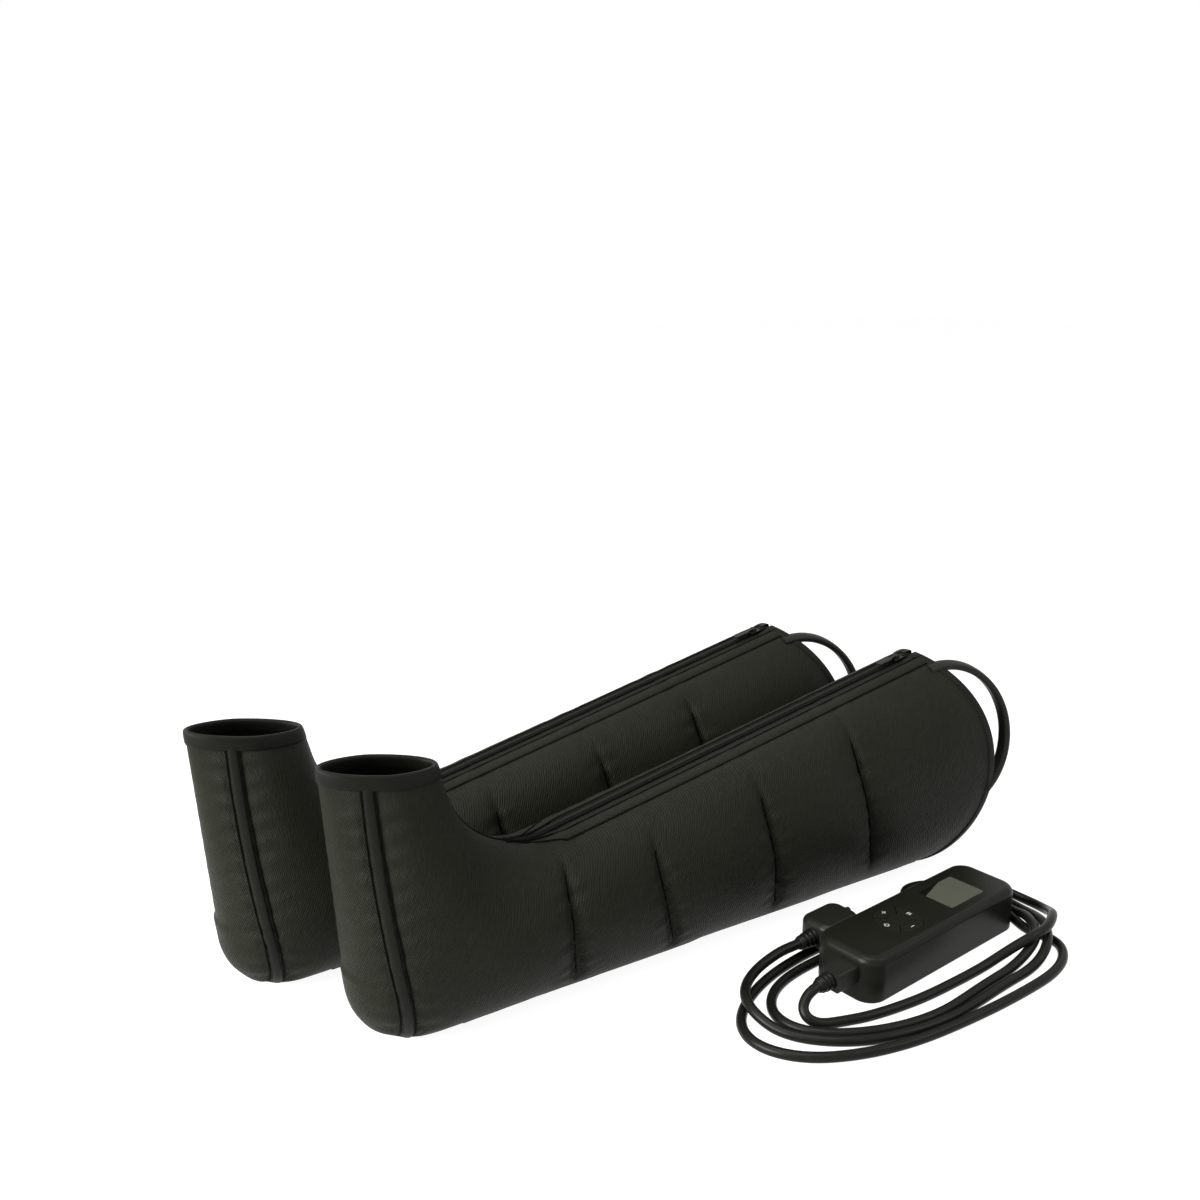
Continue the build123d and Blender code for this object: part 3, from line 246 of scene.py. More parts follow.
line = bpy.data.curves.new("air_hose", "CURVE")
line.dimensions, line.bevel_depth = "3D", HOSE_DIAMETER / 2
line.bevel_resolution = line.resolution_u = 6
spline = line.splines.new("NURBS")
spline.points.add(len(HOSE_POINTS) - 1)
for point, place in zip(spline.points, HOSE_POINTS):
    point.co = (*(measure / 1000 for measure in place), 1)
spline.order_u, spline.use_endpoint_u = 3, True
hose = bpy.data.objects.new("air_hose", line)
bpy.context.collection.objects.link(hose)
line.materials.append(rubber)
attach(hose, "base")
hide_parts("hose_lead", "hose_coil", "hose_tail")


# ---------------------------------------------------------------- hose plugs
# Moulded plastic plugs at both ends of the hose, with rubber boots where the hose leaves them.
# The boots are turned shapes with grip rings round them.

UNIT_TURN = radians(6.9)
PUMP_PLUG_END = (-0.11637, -0.02063, 0.0203)       # where the hose leaves each boot
SLEEVE_PLUG_END = (-0.08558, 0.03296, 0.0159)
along_unit = Vector((cos(UNIT_TURN), sin(UNIT_TURN), 0))
across_unit = Vector((-sin(UNIT_TURN), cos(UNIT_TURN), 0))


def turned_piece(name, tip, direction, profile, steps=40):
    """A shape turned round an axis from (distance along it, radius) pairs in millimetres."""
    axis = direction.normalized()
    side = axis.orthogonal().normalized()
    other = axis.cross(side)
    points, faces = [], []
    for distance, radius in profile:
        for step in range(steps):
            turn = 2 * pi * step / steps
            out = side * cos(turn) + other * sin(turn)
            points.append(Vector(tip) + (axis * distance + out * radius) / 1000)
    for ring in range(len(profile) - 1):
        for step in range(steps):
            near, far = ring * steps, (ring + 1) * steps
            beside = (step + 1) % steps
            faces.append((near + step, near + beside, far + beside, far + step))
    piece = mesh_piece(name, points, faces)
    piece.data.shade_smooth()
    return piece


def moulded(name, low, high, pit, roughness, shine=0.15):
    """Moulded plastic or metal: a fine spark-eroded grain and a slow change of shade."""
    material, stuff = blank_material(name)
    cloud, speck = stuff.grain(26, 4.0), stuff.grain(pit, 3.0)
    stuff.principled({"Base Color": (cloud * 0.7 + speck * 0.3).blend(low, high),
                      "Roughness": roughness + cloud * 0.10,
                      "Normal": speck.bump(0.35, 0.00006), "Specular IOR Level": shine})
    return material


def finish(piece, material):
    piece.data.materials.clear()
    piece.data.materials.append(material)


plug_plastic = moulded("plug_plastic", (0.0055, 0.0057, 0.0044), (0.0115, 0.0118, 0.0092),
                       1500, 0.36)
plugs = [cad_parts[node] for node in ("pump_plug", "sleeve_plug", "sleeve_nozzles")]
for plug in plugs:
    finish(plug, plug_plastic)

PUMP_BOOT = (
    (-12, 5.6), (-11.4, 6.1), (-9.8, 6.15), (-9.2, 5.4), (-8.2, 5.4), (-7.8, 6.0), (-6.3, 5.95),
    (-5.9, 5.1), (-4.9, 5.1), (-4.5, 5.6), (-3.1, 5.5), (-2.7, 4.8), (-0.6, 4.5), (0.0, 4.2),
    (0.1, 3.5))
SLEEVE_BOOT = (
    (-15, 6.4), (-13.8, 6.5), (-13.4, 5.8), (-12.2, 5.8), (-11.8, 6.2), (-10.0, 6.1),
    (-9.6, 5.4), (-8.4, 5.4), (-8.0, 5.8), (-6.2, 5.6), (-5.8, 5.0), (-4.6, 5.0), (-4.2, 5.3),
    (-2.4, 5.1), (-2.0, 4.6), (-0.4, 4.4), (0.0, 4.1), (0.1, 3.5))
pump_boot = turned_piece("pump_boot", PUMP_PLUG_END, -along_unit, PUMP_BOOT)
sleeve_boot = turned_piece("sleeve_boot", SLEEVE_PLUG_END, -along_unit, SLEEVE_BOOT)
for boot, node in ((pump_boot, "pump_plug_relief"), (sleeve_boot, "sleeve_plug_relief")):
    finish(boot, rubber)
    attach(boot, "base")
    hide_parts(node)


# ---------------------------------------------------------------- sleeve covers
# Each sleeve is a boot of coated twill, welded along four lines over the calf and closed by a
# zip down the shin.  The cover is one closed run of side, sole and base panels, drawn in at its
# welds and seams.

TOE_FLARE, CALF_RISE, SOLE_LEAN = radians(15.0), radians(11.1), radians(4.5)
HOLLOW_RADIUS, HOLLOW_X, HOLLOW_Z = 63.0, 78.0, 176.0          # the hollow over the instep
HEEL_RADIUS, HEEL_X = 42.0, -12.0
SOLE_TIP, INSTEP_TIP = 194.0, 182.0                            # heights of the toe opening
KNEE_X, HEM_BELLY, HEM_BELLY_Z, HEM_FOOT = 431.0, 44.0, 72.0, 9.0
ANKLE_BASE_X = 6.0                                             # where the calf's base begins
TOE_HALF, ANKLE_HALF, KNEE_HALF = 20.0, 46.0, 52.0             # half widths
TOE_FULLNESS, CALF_FULLNESS = 1.55, 2.05                       # exponents of the cross-section
SLEEVES = {"left": (-337.0, 111.0, 0.0), "right": (-385.0, 218.0, 1.5)}   # x, y, and turn

flare_start, hollow_end = pi + TOE_FLARE, 1.5 * pi + CALF_RISE
flare_foot = (HOLLOW_X + HOLLOW_RADIUS * cos(flare_start),
              HOLLOW_Z + HOLLOW_RADIUS * sin(flare_start))
flare_run = (INSTEP_TIP - flare_foot[1]) / cos(TOE_FLARE)
hollow_run = HOLLOW_RADIUS * (hollow_end - flare_start)
shin_foot = (HOLLOW_X + HOLLOW_RADIUS * cos(hollow_end),
             HOLLOW_Z + HOLLOW_RADIUS * sin(hollow_end))
heel_start = pi + SOLE_LEAN
sole_foot = (HEEL_X + HEEL_RADIUS * cos(heel_start), HEEL_RADIUS + HEEL_RADIUS * sin(heel_start))
sole_run = (SOLE_TIP - sole_foot[1]) / cos(SOLE_LEAN)
heel_run = HEEL_RADIUS * (1.5 * pi - heel_start)
foot_instep = flare_run + hollow_run
foot_sole = sole_run + heel_run + ANKLE_BASE_X - HEEL_X
shin_run = (KNEE_X - shin_foot[0]) / cos(CALF_RISE)
base_run = KNEE_X - ANKLE_BASE_X
knee_top = shin_foot[1] + shin_run * sin(CALF_RISE)


def instep_line(distance):
    """Side-view points on the instep and shin, by distance from the toe opening."""
    up, along = flare_run - distance, distance - flare_run - hollow_run
    bend = flare_start - up / HOLLOW_RADIUS
    parts = [up > 0, along < 0]
    x = np.select(parts, [flare_foot[0] - up * sin(TOE_FLARE),
                          HOLLOW_X + HOLLOW_RADIUS * np.cos(bend)],
                  shin_foot[0] + along * cos(CALF_RISE))
    z = np.select(parts, [flare_foot[1] + up * cos(TOE_FLARE),
                          HOLLOW_Z + HOLLOW_RADIUS * np.sin(bend)],
                  shin_foot[1] + along * sin(CALF_RISE))
    return np.stack([x, z], -1)


def sole_line(distance):
    """Side-view points on the sole, heel and base, by distance from the toe opening."""
    up, along = sole_run - distance, distance - sole_run - heel_run
    bend = heel_start - up / HEEL_RADIUS
    parts = [up > 0, along < 0]
    x = np.select(parts, [sole_foot[0] - up * sin(SOLE_LEAN),
                          HEEL_X + HEEL_RADIUS * np.cos(bend)], HEEL_X + along)
    z = np.select(parts, [sole_foot[1] + up * cos(SOLE_LEAN),
                          HEEL_RADIUS + HEEL_RADIUS * np.sin(bend)], 0.0)
    return np.stack([x, z], -1)


# stations down the sleeve: place on the instep line and the sole line, half width and fullness
FOOT_SHARES = (-0.10, 0.0, 0.12, 0.24, 0.36, 0.48, 0.60, 0.70, 0.80, 0.90, 1.0)
CALF_SHARES = ((0.05, 0.09), (0.11, 0.19), (0.18, 0.29), (0.27, 0.39), (0.38, 0.50), (0.50, 0.61),
               (0.63, 0.72), (0.76, 0.83), (0.89, 0.93), (1.0, 1.0), (1.10, 1.09), (1.19, 1.17))
FULL_FROM = 0.5                                # share of the foot where it has the calf's section
stations = []
for share in FOOT_SHARES:
    inside = max(share, 0)
    stations.append((share * foot_instep, share * foot_sole,
                     TOE_HALF + (ANKLE_HALF - TOE_HALF) * sin(inside * pi / 2),
                     TOE_FULLNESS + (CALF_FULLNESS - TOE_FULLNESS) * min(1, inside / FULL_FROM)))
for shin, base in CALF_SHARES:
    stations.append((foot_instep + shin * shin_run, foot_sole + base * base_run,
                     ANKLE_HALF + (KNEE_HALF - ANKLE_HALF) * min(shin, 1), CALF_FULLNESS))
stations = np.array(stations)


def between_stations(place):
    """Values at fractional station numbers, on smooth curves through the stations."""
    first = np.clip(np.floor(place).astype(int), 0, len(stations) - 2)
    part = (place - first)[:, None]
    before, here, after, beyond = (stations[np.clip(first + step, 0, len(stations) - 1)]
                                   for step in (-1, 0, 1, 2))
    return 0.5 * (2 * here + (after - before) * part
                  + (2 * before - 5 * here + 4 * after - beyond) * part ** 2
                  + (3 * here - before - 3 * after + beyond) * part ** 3)


ROWS = 260                # from the toe opening to the knee hem
COLUMNS = 70              # round one side, from the shin to the base
FIRST_COLUMNS = (         # distances from the zip's middle, close together at its seams
    0.0, 2.5, 5.0, 7.5, 8.6, 9.8, 12.5, 15.4, 16.6, 17.8, 20.0)
ZIP_COLUMNS = 3           # columns over the zip, where the cover is open
DENSE = 900               # points of a line before it is cut and evened out
station_number = np.linspace(0, len(stations) - 1, DENSE)
instep_at, sole_at, half_width, fullness = between_stations(station_number).T
instep, sole = instep_line(instep_at), sole_line(sole_at)
middle, reach = (instep + sole) / 2, instep - sole
half_length = np.linalg.norm(reach, axis=1) / 2
reach = reach / (2 * half_length)[:, None]
sole_tip_x = sole_line(0.0)[0]
toe_slope = (INSTEP_TIP - SOLE_TIP) / (instep_line(0.0)[0] - sole_tip_x)

# the hem is an arc through the shin seam's end, its belly and its foot
arc = np.array([(KNEE_X, knee_top), (KNEE_X + HEM_BELLY, HEM_BELLY_Z), (KNEE_X + HEM_FOOT, 0.0)])
arc_centre = np.linalg.solve(2 * (arc[1:] - arc[0]), (arc[1:] ** 2).sum(1) - (arc[0] ** 2).sum())
arc_radius = np.linalg.norm(arc[0] - arc_centre)


def crossing(values, first):
    """Where a run of values changes sign for the first or last time, as a fractional index."""
    turns = np.nonzero((values[:-1] > 0) != (values[1:] > 0))[0]
    at = turns[0] if first else turns[-1]
    return at + values[at] / (values[at] - values[at + 1])


def read_at(run, marks, wanted):
    """A run's points at wanted marks, between the marks of its own points."""
    return np.stack([np.interp(wanted, marks, run[:, axis]) for axis in range(3)], -1)


def sleeve_grid(inset=0.0):
    """The sleeve's skin drawn in by an inset, rows by columns; the columns close on themselves."""
    last = len(FIRST_COLUMNS) - 1
    narrow = np.minimum(half_width, ANKLE_HALF) / ANKLE_HALF / half_width
    angles = [np.arcsin(offset * narrow) for offset in FIRST_COLUMNS]
    for column in range(last + 1, COLUMNS + 1):
        share = (column - last) / (COLUMNS - last)
        angles.append(angles[last] + (pi - angles[last]) * share)
    lines = []
    for angle in angles:
        lean = np.sign(np.cos(angle)) * np.abs(np.cos(angle)) ** (2 / fullness)
        side = middle + reach * (lean * (half_length - inset))[:, None]
        run = np.stack([side[:, 0], np.sin(angle) * (half_width - inset), side[:, 1]], -1)
        over_toe = run[:, 2] - (SOLE_TIP + toe_slope * (run[:, 0] - sole_tip_x))
        past_hem = np.hypot(run[:, 0] - arc_centre[0], run[:, 2] - arc_centre[1]) - arc_radius
        start, end = crossing(over_toe, first=True), crossing(past_hem, first=False)
        run = read_at(run, np.arange(DENSE), np.linspace(start, end, DENSE))
        steps = np.linalg.norm(np.diff(run, axis=0), axis=1)
        length = np.concatenate([[0], np.cumsum(steps)])
        lines.append(read_at(run, length, np.linspace(0, length[-1], ROWS)))
    back = [line * (1, -1, 1) for line in lines[COLUMNS - 1:0:-1]]
    return np.stack(lines + back, 1)


def outward(points):
    """Unit normals of a grid, out of the sleeve."""
    down = np.gradient(points, axis=0)
    around = np.roll(points, -1, 1) - np.roll(points, 1, 1)
    normal = np.cross(down, around)
    normal /= np.linalg.norm(normal, axis=2, keepdims=True)
    return normal


# welds in side view: x and z of the top, x and z of the foot, and bow; the right sleeve's lie a
# little nearer the toe
WELDS = ((88, 110, 92, 28, -3.5), (153, 110, 172, 27, -3.0), (244, 128, 265, 30, -0.5),
         (333, 150, 355, 45, -1.5))
WELD_SHIFT = {"left": 0.0, "right": -14.0}
SEAM_TOP_X, SEAM_MIDDLE_X, SEAM_FOOT_X = 24.0, 28.0, 42.0      # sole seam, behind the sole's tip
BASE_SEAM_Z = 7.0
ZIP_START_TURN = radians(252)                                  # on the hollow over the instep
zip_start = flare_run + HOLLOW_RADIUS * (ZIP_START_TURN - flare_start)


def seam_x(z):
    """Sole seam in side view: a parabola through its top, middle and foot."""
    low, mid, top = BASE_SEAM_Z, SOLE_TIP / 2, SOLE_TIP + 4
    return sole_tip_x + (SEAM_FOOT_X * (z - mid) * (z - top) / ((low - mid) * (low - top))
                         + SEAM_MIDDLE_X * (z - low) * (z - top) / ((mid - low) * (mid - top))
                         + SEAM_TOP_X * (z - low) * (z - mid) / ((top - low) * (top - mid)))


def weld_x(weld, up, shift):
    """A weld's line in side view, by the share of its height."""
    top_x, _, foot_x, _, bow = weld
    return foot_x + shift + (top_x - foot_x) * up + bow * 4 * up * (1 - up)


def ramp(value, start, end):
    """0 before a start, 1 from an end on, and straight between."""
    return np.clip((value - start) / (end - start), 0, 1)


def hump(distance, half, power=2):
    """1 on a line, falling to 0 beside it within about twice the half width."""
    return np.exp(-(distance / half) ** power)


# relief of the cloth: a height or depth, the place of its line where it has one, and its half
# width; a pair of numbers in brackets is the stretch over which something fades in
WELD_FOOT, WELD_TOP, WELD_SIDE = (-0.22, 0.10), (1.08, 0.68), (17, 31)
CREASE, CREASE_HALF, DIP, DIP_HALF = 4.6, 2.7, 1.8, 11.0
PUCKER, PUCKER_AT, PUCKER_HALF = 0.5, 7.0, 7.0
PUCKER_PITCH, FINE_PITCH, DRIFT_PITCH = 2.35, 1.55, 9.0
END_PUCKER, END_PUCKER_HALF, END_PITCH = 0.22, 26.0, 3.6
TOE_HELD, KNEE_HELD = (0, 0.05), (1, 0.965)             # held flat under the bindings
CELL_SWELL, PINCH, PINCH_HALF = 1.8, 0.9, 22.0          # filled cells, pinched at their welds
BASE_SWELL, SHIN_SWELL, SHIN_Z, SHIN_HALF = (4, 64), (8, 44), 55, 46
WELT, WELT_AT, WELT_HALF, WELT_START = 0.9, 12.5, 4.5, (70, 95)      # band beside the zip
WELT_LINE, WELT_LINE_AT, WELT_LINE_HALF = 1.1, 16.6, 1.2
SLOW_WAVE, SLOW_WAVE_SIDE = 0.3, (8, 28)                # broad unevenness of soft filled cloth
SEAM_DIP, SEAM_DIP_AT, SEAM_DIP_HALF = 1.3, 4.5, 2.2    # beside the sole seams
SEAM_PUCKER, SEAM_PUCKER_AT, SEAM_PUCKER_HALF, SEAM_PITCH = 0.5, 10.0, 7.0, 2.2
FOOT_X, FOOT_Z = (60, 40), (3, 9)
BASE_DIP, BASE_DIP_HALF, BASE_DIP_START = 0.9, 1.6, (10, 30)


def relief(points, seed, shift):
    """How far the cloth stands out of the sleeve's smooth shape, in millimetres."""
    x, wide, z = points[..., 0], np.abs(points[..., 1]), points[..., 2]
    side = np.where(points[..., 1] < 0, -1, 1)
    rows = np.linspace(0, 1, len(x))[:, None]
    free = ramp(rows, *TOE_HELD) * ramp(rows, *KNEE_HELD)
    away, swell = np.zeros_like(x), np.ones_like(x)
    for number, weld in enumerate(WELDS):
        _, top_z, _, foot_z, _ = weld
        up = (z - foot_z) / (top_z - foot_z)
        across = x - weld_x(weld, up, shift)
        fade = ramp(up, *WELD_FOOT) * ramp(up, *WELD_TOP)
        fade = fade * fade * (3 - 2 * fade) * ramp(wide, *WELD_SIDE)
        swell *= 1 - PINCH * hump(across, PINCH_HALF) * fade
        away -= fade * (CREASE * hump(across, CREASE_HALF) + DIP * hump(across, DIP_HALF))
        phase = seed + number * 1.7 + side * 0.9
        drift = 0.09 * across * np.sin(z / DRIFT_PITCH + phase)
        wave = np.sin(z / PUCKER_PITCH + phase + drift)
        wave += 0.6 * np.sin(z / FINE_PITCH - 0.12 * across + 2 * phase)
        away += PUCKER * fade * hump(np.abs(across) - PUCKER_AT, PUCKER_HALF) * wave
        ends = (hump(up - 1.04, 0.16) + hump(up + 0.1, 0.16)) * hump(across, END_PUCKER_HALF)
        away += END_PUCKER * ends * np.sin(across / END_PITCH + phase) * free
    shin = (z > SHIN_Z) & (wide < SHIN_HALF)
    swell = swell * ramp(z, *BASE_SWELL) * np.where(shin, ramp(wide, *SHIN_SWELL), 1)
    away += CELL_SWELL * swell * free
    band = WELT * hump(wide - WELT_AT, WELT_HALF, power=4)
    band -= WELT_LINE * hump(wide - WELT_LINE_AT, WELT_LINE_HALF)
    away += band * np.where(shin, ramp(x, *WELT_START), 0)
    slow = np.sin(x / 21 + 0.6 * seed) * np.sin(z / 17 + seed)
    slow += 0.7 * np.sin(x / 33 - z / 13 + 2.1 * seed * side)
    away += SLOW_WAVE * slow * free * ramp(wide, *SLOW_WAVE_SIDE) * np.clip(x / 80, 0.25, 1)
    seam, foot = np.abs(x - seam_x(z)), ramp(x, *FOOT_X) * ramp(z, *FOOT_Z)
    away -= SEAM_DIP * hump(seam - SEAM_DIP_AT, SEAM_DIP_HALF) * foot * free
    away -= BASE_DIP * hump(z - BASE_SEAM_Z, BASE_DIP_HALF) * ramp(x, *BASE_DIP_START)
    puckers = np.sin(z / SEAM_PITCH + seed) * hump(seam - SEAM_PUCKER_AT, SEAM_PUCKER_HALF)
    away += SEAM_PUCKER * puckers * foot * free
    return away


YARN_WANDER = 6.0                              # unevenness of the ribs, in radians
STREAK_WIDE, STREAK_LONG = 0.7, 0.16           # uneven yarns per rib, across and along the twill


def cloth(name, low, high, pitch, depth, roughness, shine):
    """Woven cloth: a raised diagonal twill, uneven yarns and a slow change of shade."""
    material, stuff = blank_material(name)
    spot = stuff.make("ShaderNodeUVMap", {"uv_map": "cloth"})
    laid, across = (stuff.make("ShaderNodeSeparateXYZ", None, {0: spot}, output=axis)
                    for axis in (0, 1))
    wander = stuff.grain(160, 3.0) * YARN_WANDER
    ribs = ((laid + across) * (2 * pi / pitch) + wander).sine() * 0.5 + 0.5
    bias = {0: (laid + across) * (STREAK_WIDE / pitch),
            1: (laid - across) * (STREAK_LONG / pitch), 2: 0.0}
    streaks = stuff.grain(1.0, 3.0, stuff.make("ShaderNodeCombineXYZ", None, bias))
    weave = ribs * 0.32 + streaks * 0.68
    cloud, fibres = stuff.grain(18, 5.0), stuff.grain(900, 2.0)
    stuff.principled({
        "Base Color": (weave * 0.55 + cloud * 0.3 + fibres * 0.15).blend(low, high),
        "Roughness": roughness - weave * 0.10 + fibres * 0.06,
        "Normal": (weave + fibres * 0.4).bump(1.0, depth), "Specular IOR Level": shine})
    return material


def on_floor(points, where):
    """From the sleeve's own millimetres to metres in the scene."""
    x, y, turn = where[0], where[1], radians(where[2])
    out = np.empty_like(points)
    out[..., 0] = x + points[..., 0] * cos(turn) - points[..., 1] * sin(turn)
    out[..., 1] = y + points[..., 0] * sin(turn) + points[..., 1] * cos(turn)
    out[..., 2] = np.maximum(points[..., 2], 0.0)
    return out / 1000


def grid_piece(name, points, where, keep=None, closed=True):
    """A mesh over the kept cells of a grid of points, with its cloth laid out in metres."""
    rows, columns = points.shape[:2]
    placed = on_floor(points, where)
    cells = np.ones((rows - 1, columns), bool) if keep is None else keep[:-1].copy()
    cells[:, -1] &= closed
    row, column = np.nonzero(cells)
    beside = (column + 1) % columns
    near, far = row * columns, (row + 1) * columns
    quads = np.stack([near + column, far + column, far + beside, near + beside], 1)
    used, numbers = np.unique(quads, return_inverse=True)
    faces = numbers.reshape(quads.shape).tolist()
    piece = mesh_piece(name, placed.reshape(-1, 3)[used], faces)
    piece.data.shade_smooth()
    down = np.zeros((rows, columns))
    down[1:] = np.cumsum(np.linalg.norm(np.diff(placed, axis=0), axis=2), axis=0)
    gap = np.linalg.norm(np.roll(placed, -1, 1) - placed, axis=2).mean(0)
    around = np.concatenate([[0], np.cumsum(gap)])
    across = np.stack([around[column]] * 2 + [around[column + 1]] * 2, 1)
    layout = np.stack([down.reshape(-1)[quads], across], -1)
    piece.data.uv_layers.new(name="cloth").data.foreach_set("uv", layout.ravel())
    return piece


COVER_THICK = 0.0014
cover_cloth = cloth("cover_cloth", (0.0015, 0.0018, 0.0006), (0.0165, 0.0178, 0.0118),
                    0.0020, 0.0007, 0.50, 0.06)
smooth_grid = sleeve_grid()
smooth_normals = outward(smooth_grid)
zip_open = smooth_grid[:, 0, 0] > instep_line(zip_start)[0]       # rows that the zip runs along
covers = {}
for number, (side, where) in enumerate(SLEEVES.items()):
    away = relief(smooth_grid, 1.0 + 2.3 * number, WELD_SHIFT[side])
    covers[side] = smooth_grid + smooth_normals * away[..., None]
    keep = np.ones(smooth_grid.shape[:2], bool)
    keep[:, :ZIP_COLUMNS] = keep[:, -ZIP_COLUMNS:] = ~zip_open[:, None]
    cover = grid_piece(f"{side}_cover", covers[side], where, keep)
    thick = cover.modifiers.new("cloth", "SOLIDIFY")
    thick.thickness, thick.offset = COVER_THICK, -1
    finish(cover, cover_cloth)
    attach(cover, "base")
    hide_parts(*(f"{side}_cover_{panel}"
                         for panel in ("sole", "base", "loop_side", "port_side")))


# ---------------------------------------------------------------- linings
# Smooth black knit inside each sleeve, with the welded air cells behind it.  It runs from the
# toe binding to the knee binding and is open under the zip.

WALL, EDGE_WALL = 6.2, 2.0        # cover, air cells and lining together, and at the bound edges
SLIT_COLUMNS = 2
TOE_EDGE, KNEE_EDGE = (1.3, 2.5), (19.6, 18.6)     # stations over which the wall grows full
lining_cloth = cloth("lining_cloth", (0.0008, 0.0009, 0.0006), (0.0025, 0.0028, 0.0018),
                     0.0011, 0.00012, 0.75, 0.04)
whole_wall = ramp(station_number, *TOE_EDGE) * ramp(station_number, *KNEE_EDGE)
lining_grid = sleeve_grid(EDGE_WALL + (WALL - EDGE_WALL) * whole_wall)
for side, where in SLEEVES.items():
    keep = np.ones(lining_grid.shape[:2], bool)
    keep[:, :SLIT_COLUMNS] = keep[:, -SLIT_COLUMNS:] = ~zip_open[:, None]
    lining = grid_piece(f"{side}_lining_and_cells", lining_grid, where, keep)
    for face in lining.data.polygons:
        face.flip()                # the knit's right side looks into the sleeve
    finish(lining, lining_cloth)
    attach(lining, "base")
    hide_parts(f"{side}_lining", f"{side}_air_cells")


# ---------------------------------------------------------------- bindings
# Ribbed tape folded over the edge of the toe opening and of the knee hem and stitched through
# the wall.  The knee binding stops at the zip.

BINDING_LENGTH, OVERHANG = 10.1, 1.2
BINDING = (                       # distance from the fold's inner edge, and height off the cover
    (0.0, 0.0), (0.0, 0.7), (-0.5, 1.0), (-2.5, 1.1), (-5.5, 1.1), (-8.2, 1.0), (-9.5, 0.7),
    (-10.1, -0.2), (-10.2, -0.9), (-10.1, -1.6), (-9.5, -2.4), (-8.2, -2.8), (-5.5, -2.9),
    (-2.5, -2.9), (-0.4, -2.7), (0.0, -2.2))
BANDS = (                         # row of the edge, a row inside it, and how far the tape reaches
    ("toe_binding", 0, 4, 8.6), ("knee_binding", -1, -4, 5.8))
tape = cloth("binding_tape", (0.0026, 0.0028, 0.0018), (0.0075, 0.0080, 0.0056),
             0.0008, 0.00016, 0.50, 0.08)


def rounded(piece):
    """Rounds off a piece that is drawn with few points."""
    modifier = piece.modifiers.new("round", "SUBSURF")
    modifier.levels = modifier.render_levels = 1


for side, where in SLEEVES.items():
    for name, row, inner, depth in BANDS:
        edge = smooth_grid[row]
        inward = smooth_grid[inner] - edge
        inward /= np.linalg.norm(inward, axis=1, keepdims=True)
        rings = []
        for along, out in BINDING[::-1]:
            share = depth + along * (depth + OVERHANG) / BINDING_LENGTH
            rings.append(edge + inward * share + smooth_normals[inner] * out)
        keep = np.ones((len(rings), len(edge)), bool)
        if name == "knee_binding":
            keep[:, 0] = keep[:, -1] = False
        band = grid_piece(f"{side}_{name}", np.stack(rings), where, keep)
        rounded(band)
        finish(band, tape)
        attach(band, "base")
        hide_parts(f"{side}_{name}")


# ---------------------------------------------------------------- sole piping
# A raised strip of tape stitched over each sole seam, from under the toe binding to the base
# panel.  It follows the cover's surface.

PIPING = ((-3.1, -0.9), (-2.9, 0.5), (-2.0, 1.0), (0.0, 1.15), (2.0, 1.0), (2.9, 0.5),
          (3.1, -0.9))
NEAR_POINTS, NEAR_SOFTENING, SMOOTHINGS = 6, 0.3, 4
SEAM_START_Z, SEAM_END_Z, SEAM_POINTS = 9.0, 185.5, 90
seam_heights = np.linspace(SEAM_START_Z, SEAM_END_Z, SEAM_POINTS)
cover_normals = {side: outward(grid) for side, grid in covers.items()}


def strip_on_cover(side, path_x, path_z, profile, sign):
    """A strip over the cover along a side-view path, on one side of the sleeve."""
    half = slice(1, COLUMNS) if sign > 0 else slice(COLUMNS + 1, None)
    flat = covers[side][:, half].reshape(-1, 3)
    flat_normals = cover_normals[side][:, half].reshape(-1, 3)
    centres, outs = [], []
    for x, z in zip(path_x, path_z):
        distance = np.hypot(flat[:, 0] - x, flat[:, 2] - z)
        near = np.argsort(distance)[:NEAR_POINTS]
        weight = 1 / (distance[near] + NEAR_SOFTENING)
        weight /= weight.sum()
        centres.append((x, (flat[near, 1] * weight).sum(), z))
        outs.append((flat_normals[near] * weight[:, None]).sum(0))
    centres, outs = np.array(centres), np.array(outs)
    for _ in range(SMOOTHINGS):
        centres[1:-1, 1] = (centres[:-2, 1] + 2 * centres[1:-1, 1] + centres[2:, 1]) / 4
        outs[1:-1] = (outs[:-2] + 2 * outs[1:-1] + outs[2:]) / 4
    outs /= np.linalg.norm(outs, axis=1, keepdims=True)
    run = np.gradient(centres, axis=0)
    run /= np.linalg.norm(run, axis=1, keepdims=True)
    beside = np.cross(run, outs)
    beside /= np.linalg.norm(beside, axis=1, keepdims=True)
    return np.stack([centres + beside * across + outs * up for across, up in profile], 1)


def joined(name, strips, where):
    """Open strips made one piece."""
    parts = [grid_piece(name, strip, where, closed=False) for strip in strips]
    bpy.ops.object.select_all(action="DESELECT")
    for part in parts:
        part.select_set(True)
    bpy.context.view_layer.objects.active = parts[0]
    bpy.ops.object.join()
    return parts[0]


for side, where in SLEEVES.items():
    strips = [strip_on_cover(side, seam_x(seam_heights), seam_heights, PIPING, sign)
              for sign in (1, -1)]
    piping = joined(f"{side}_sole_piping_strips", strips, where)
    rounded(piping)
    finish(piping, tape)
    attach(piping, "base")
    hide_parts(f"{side}_sole_piping")
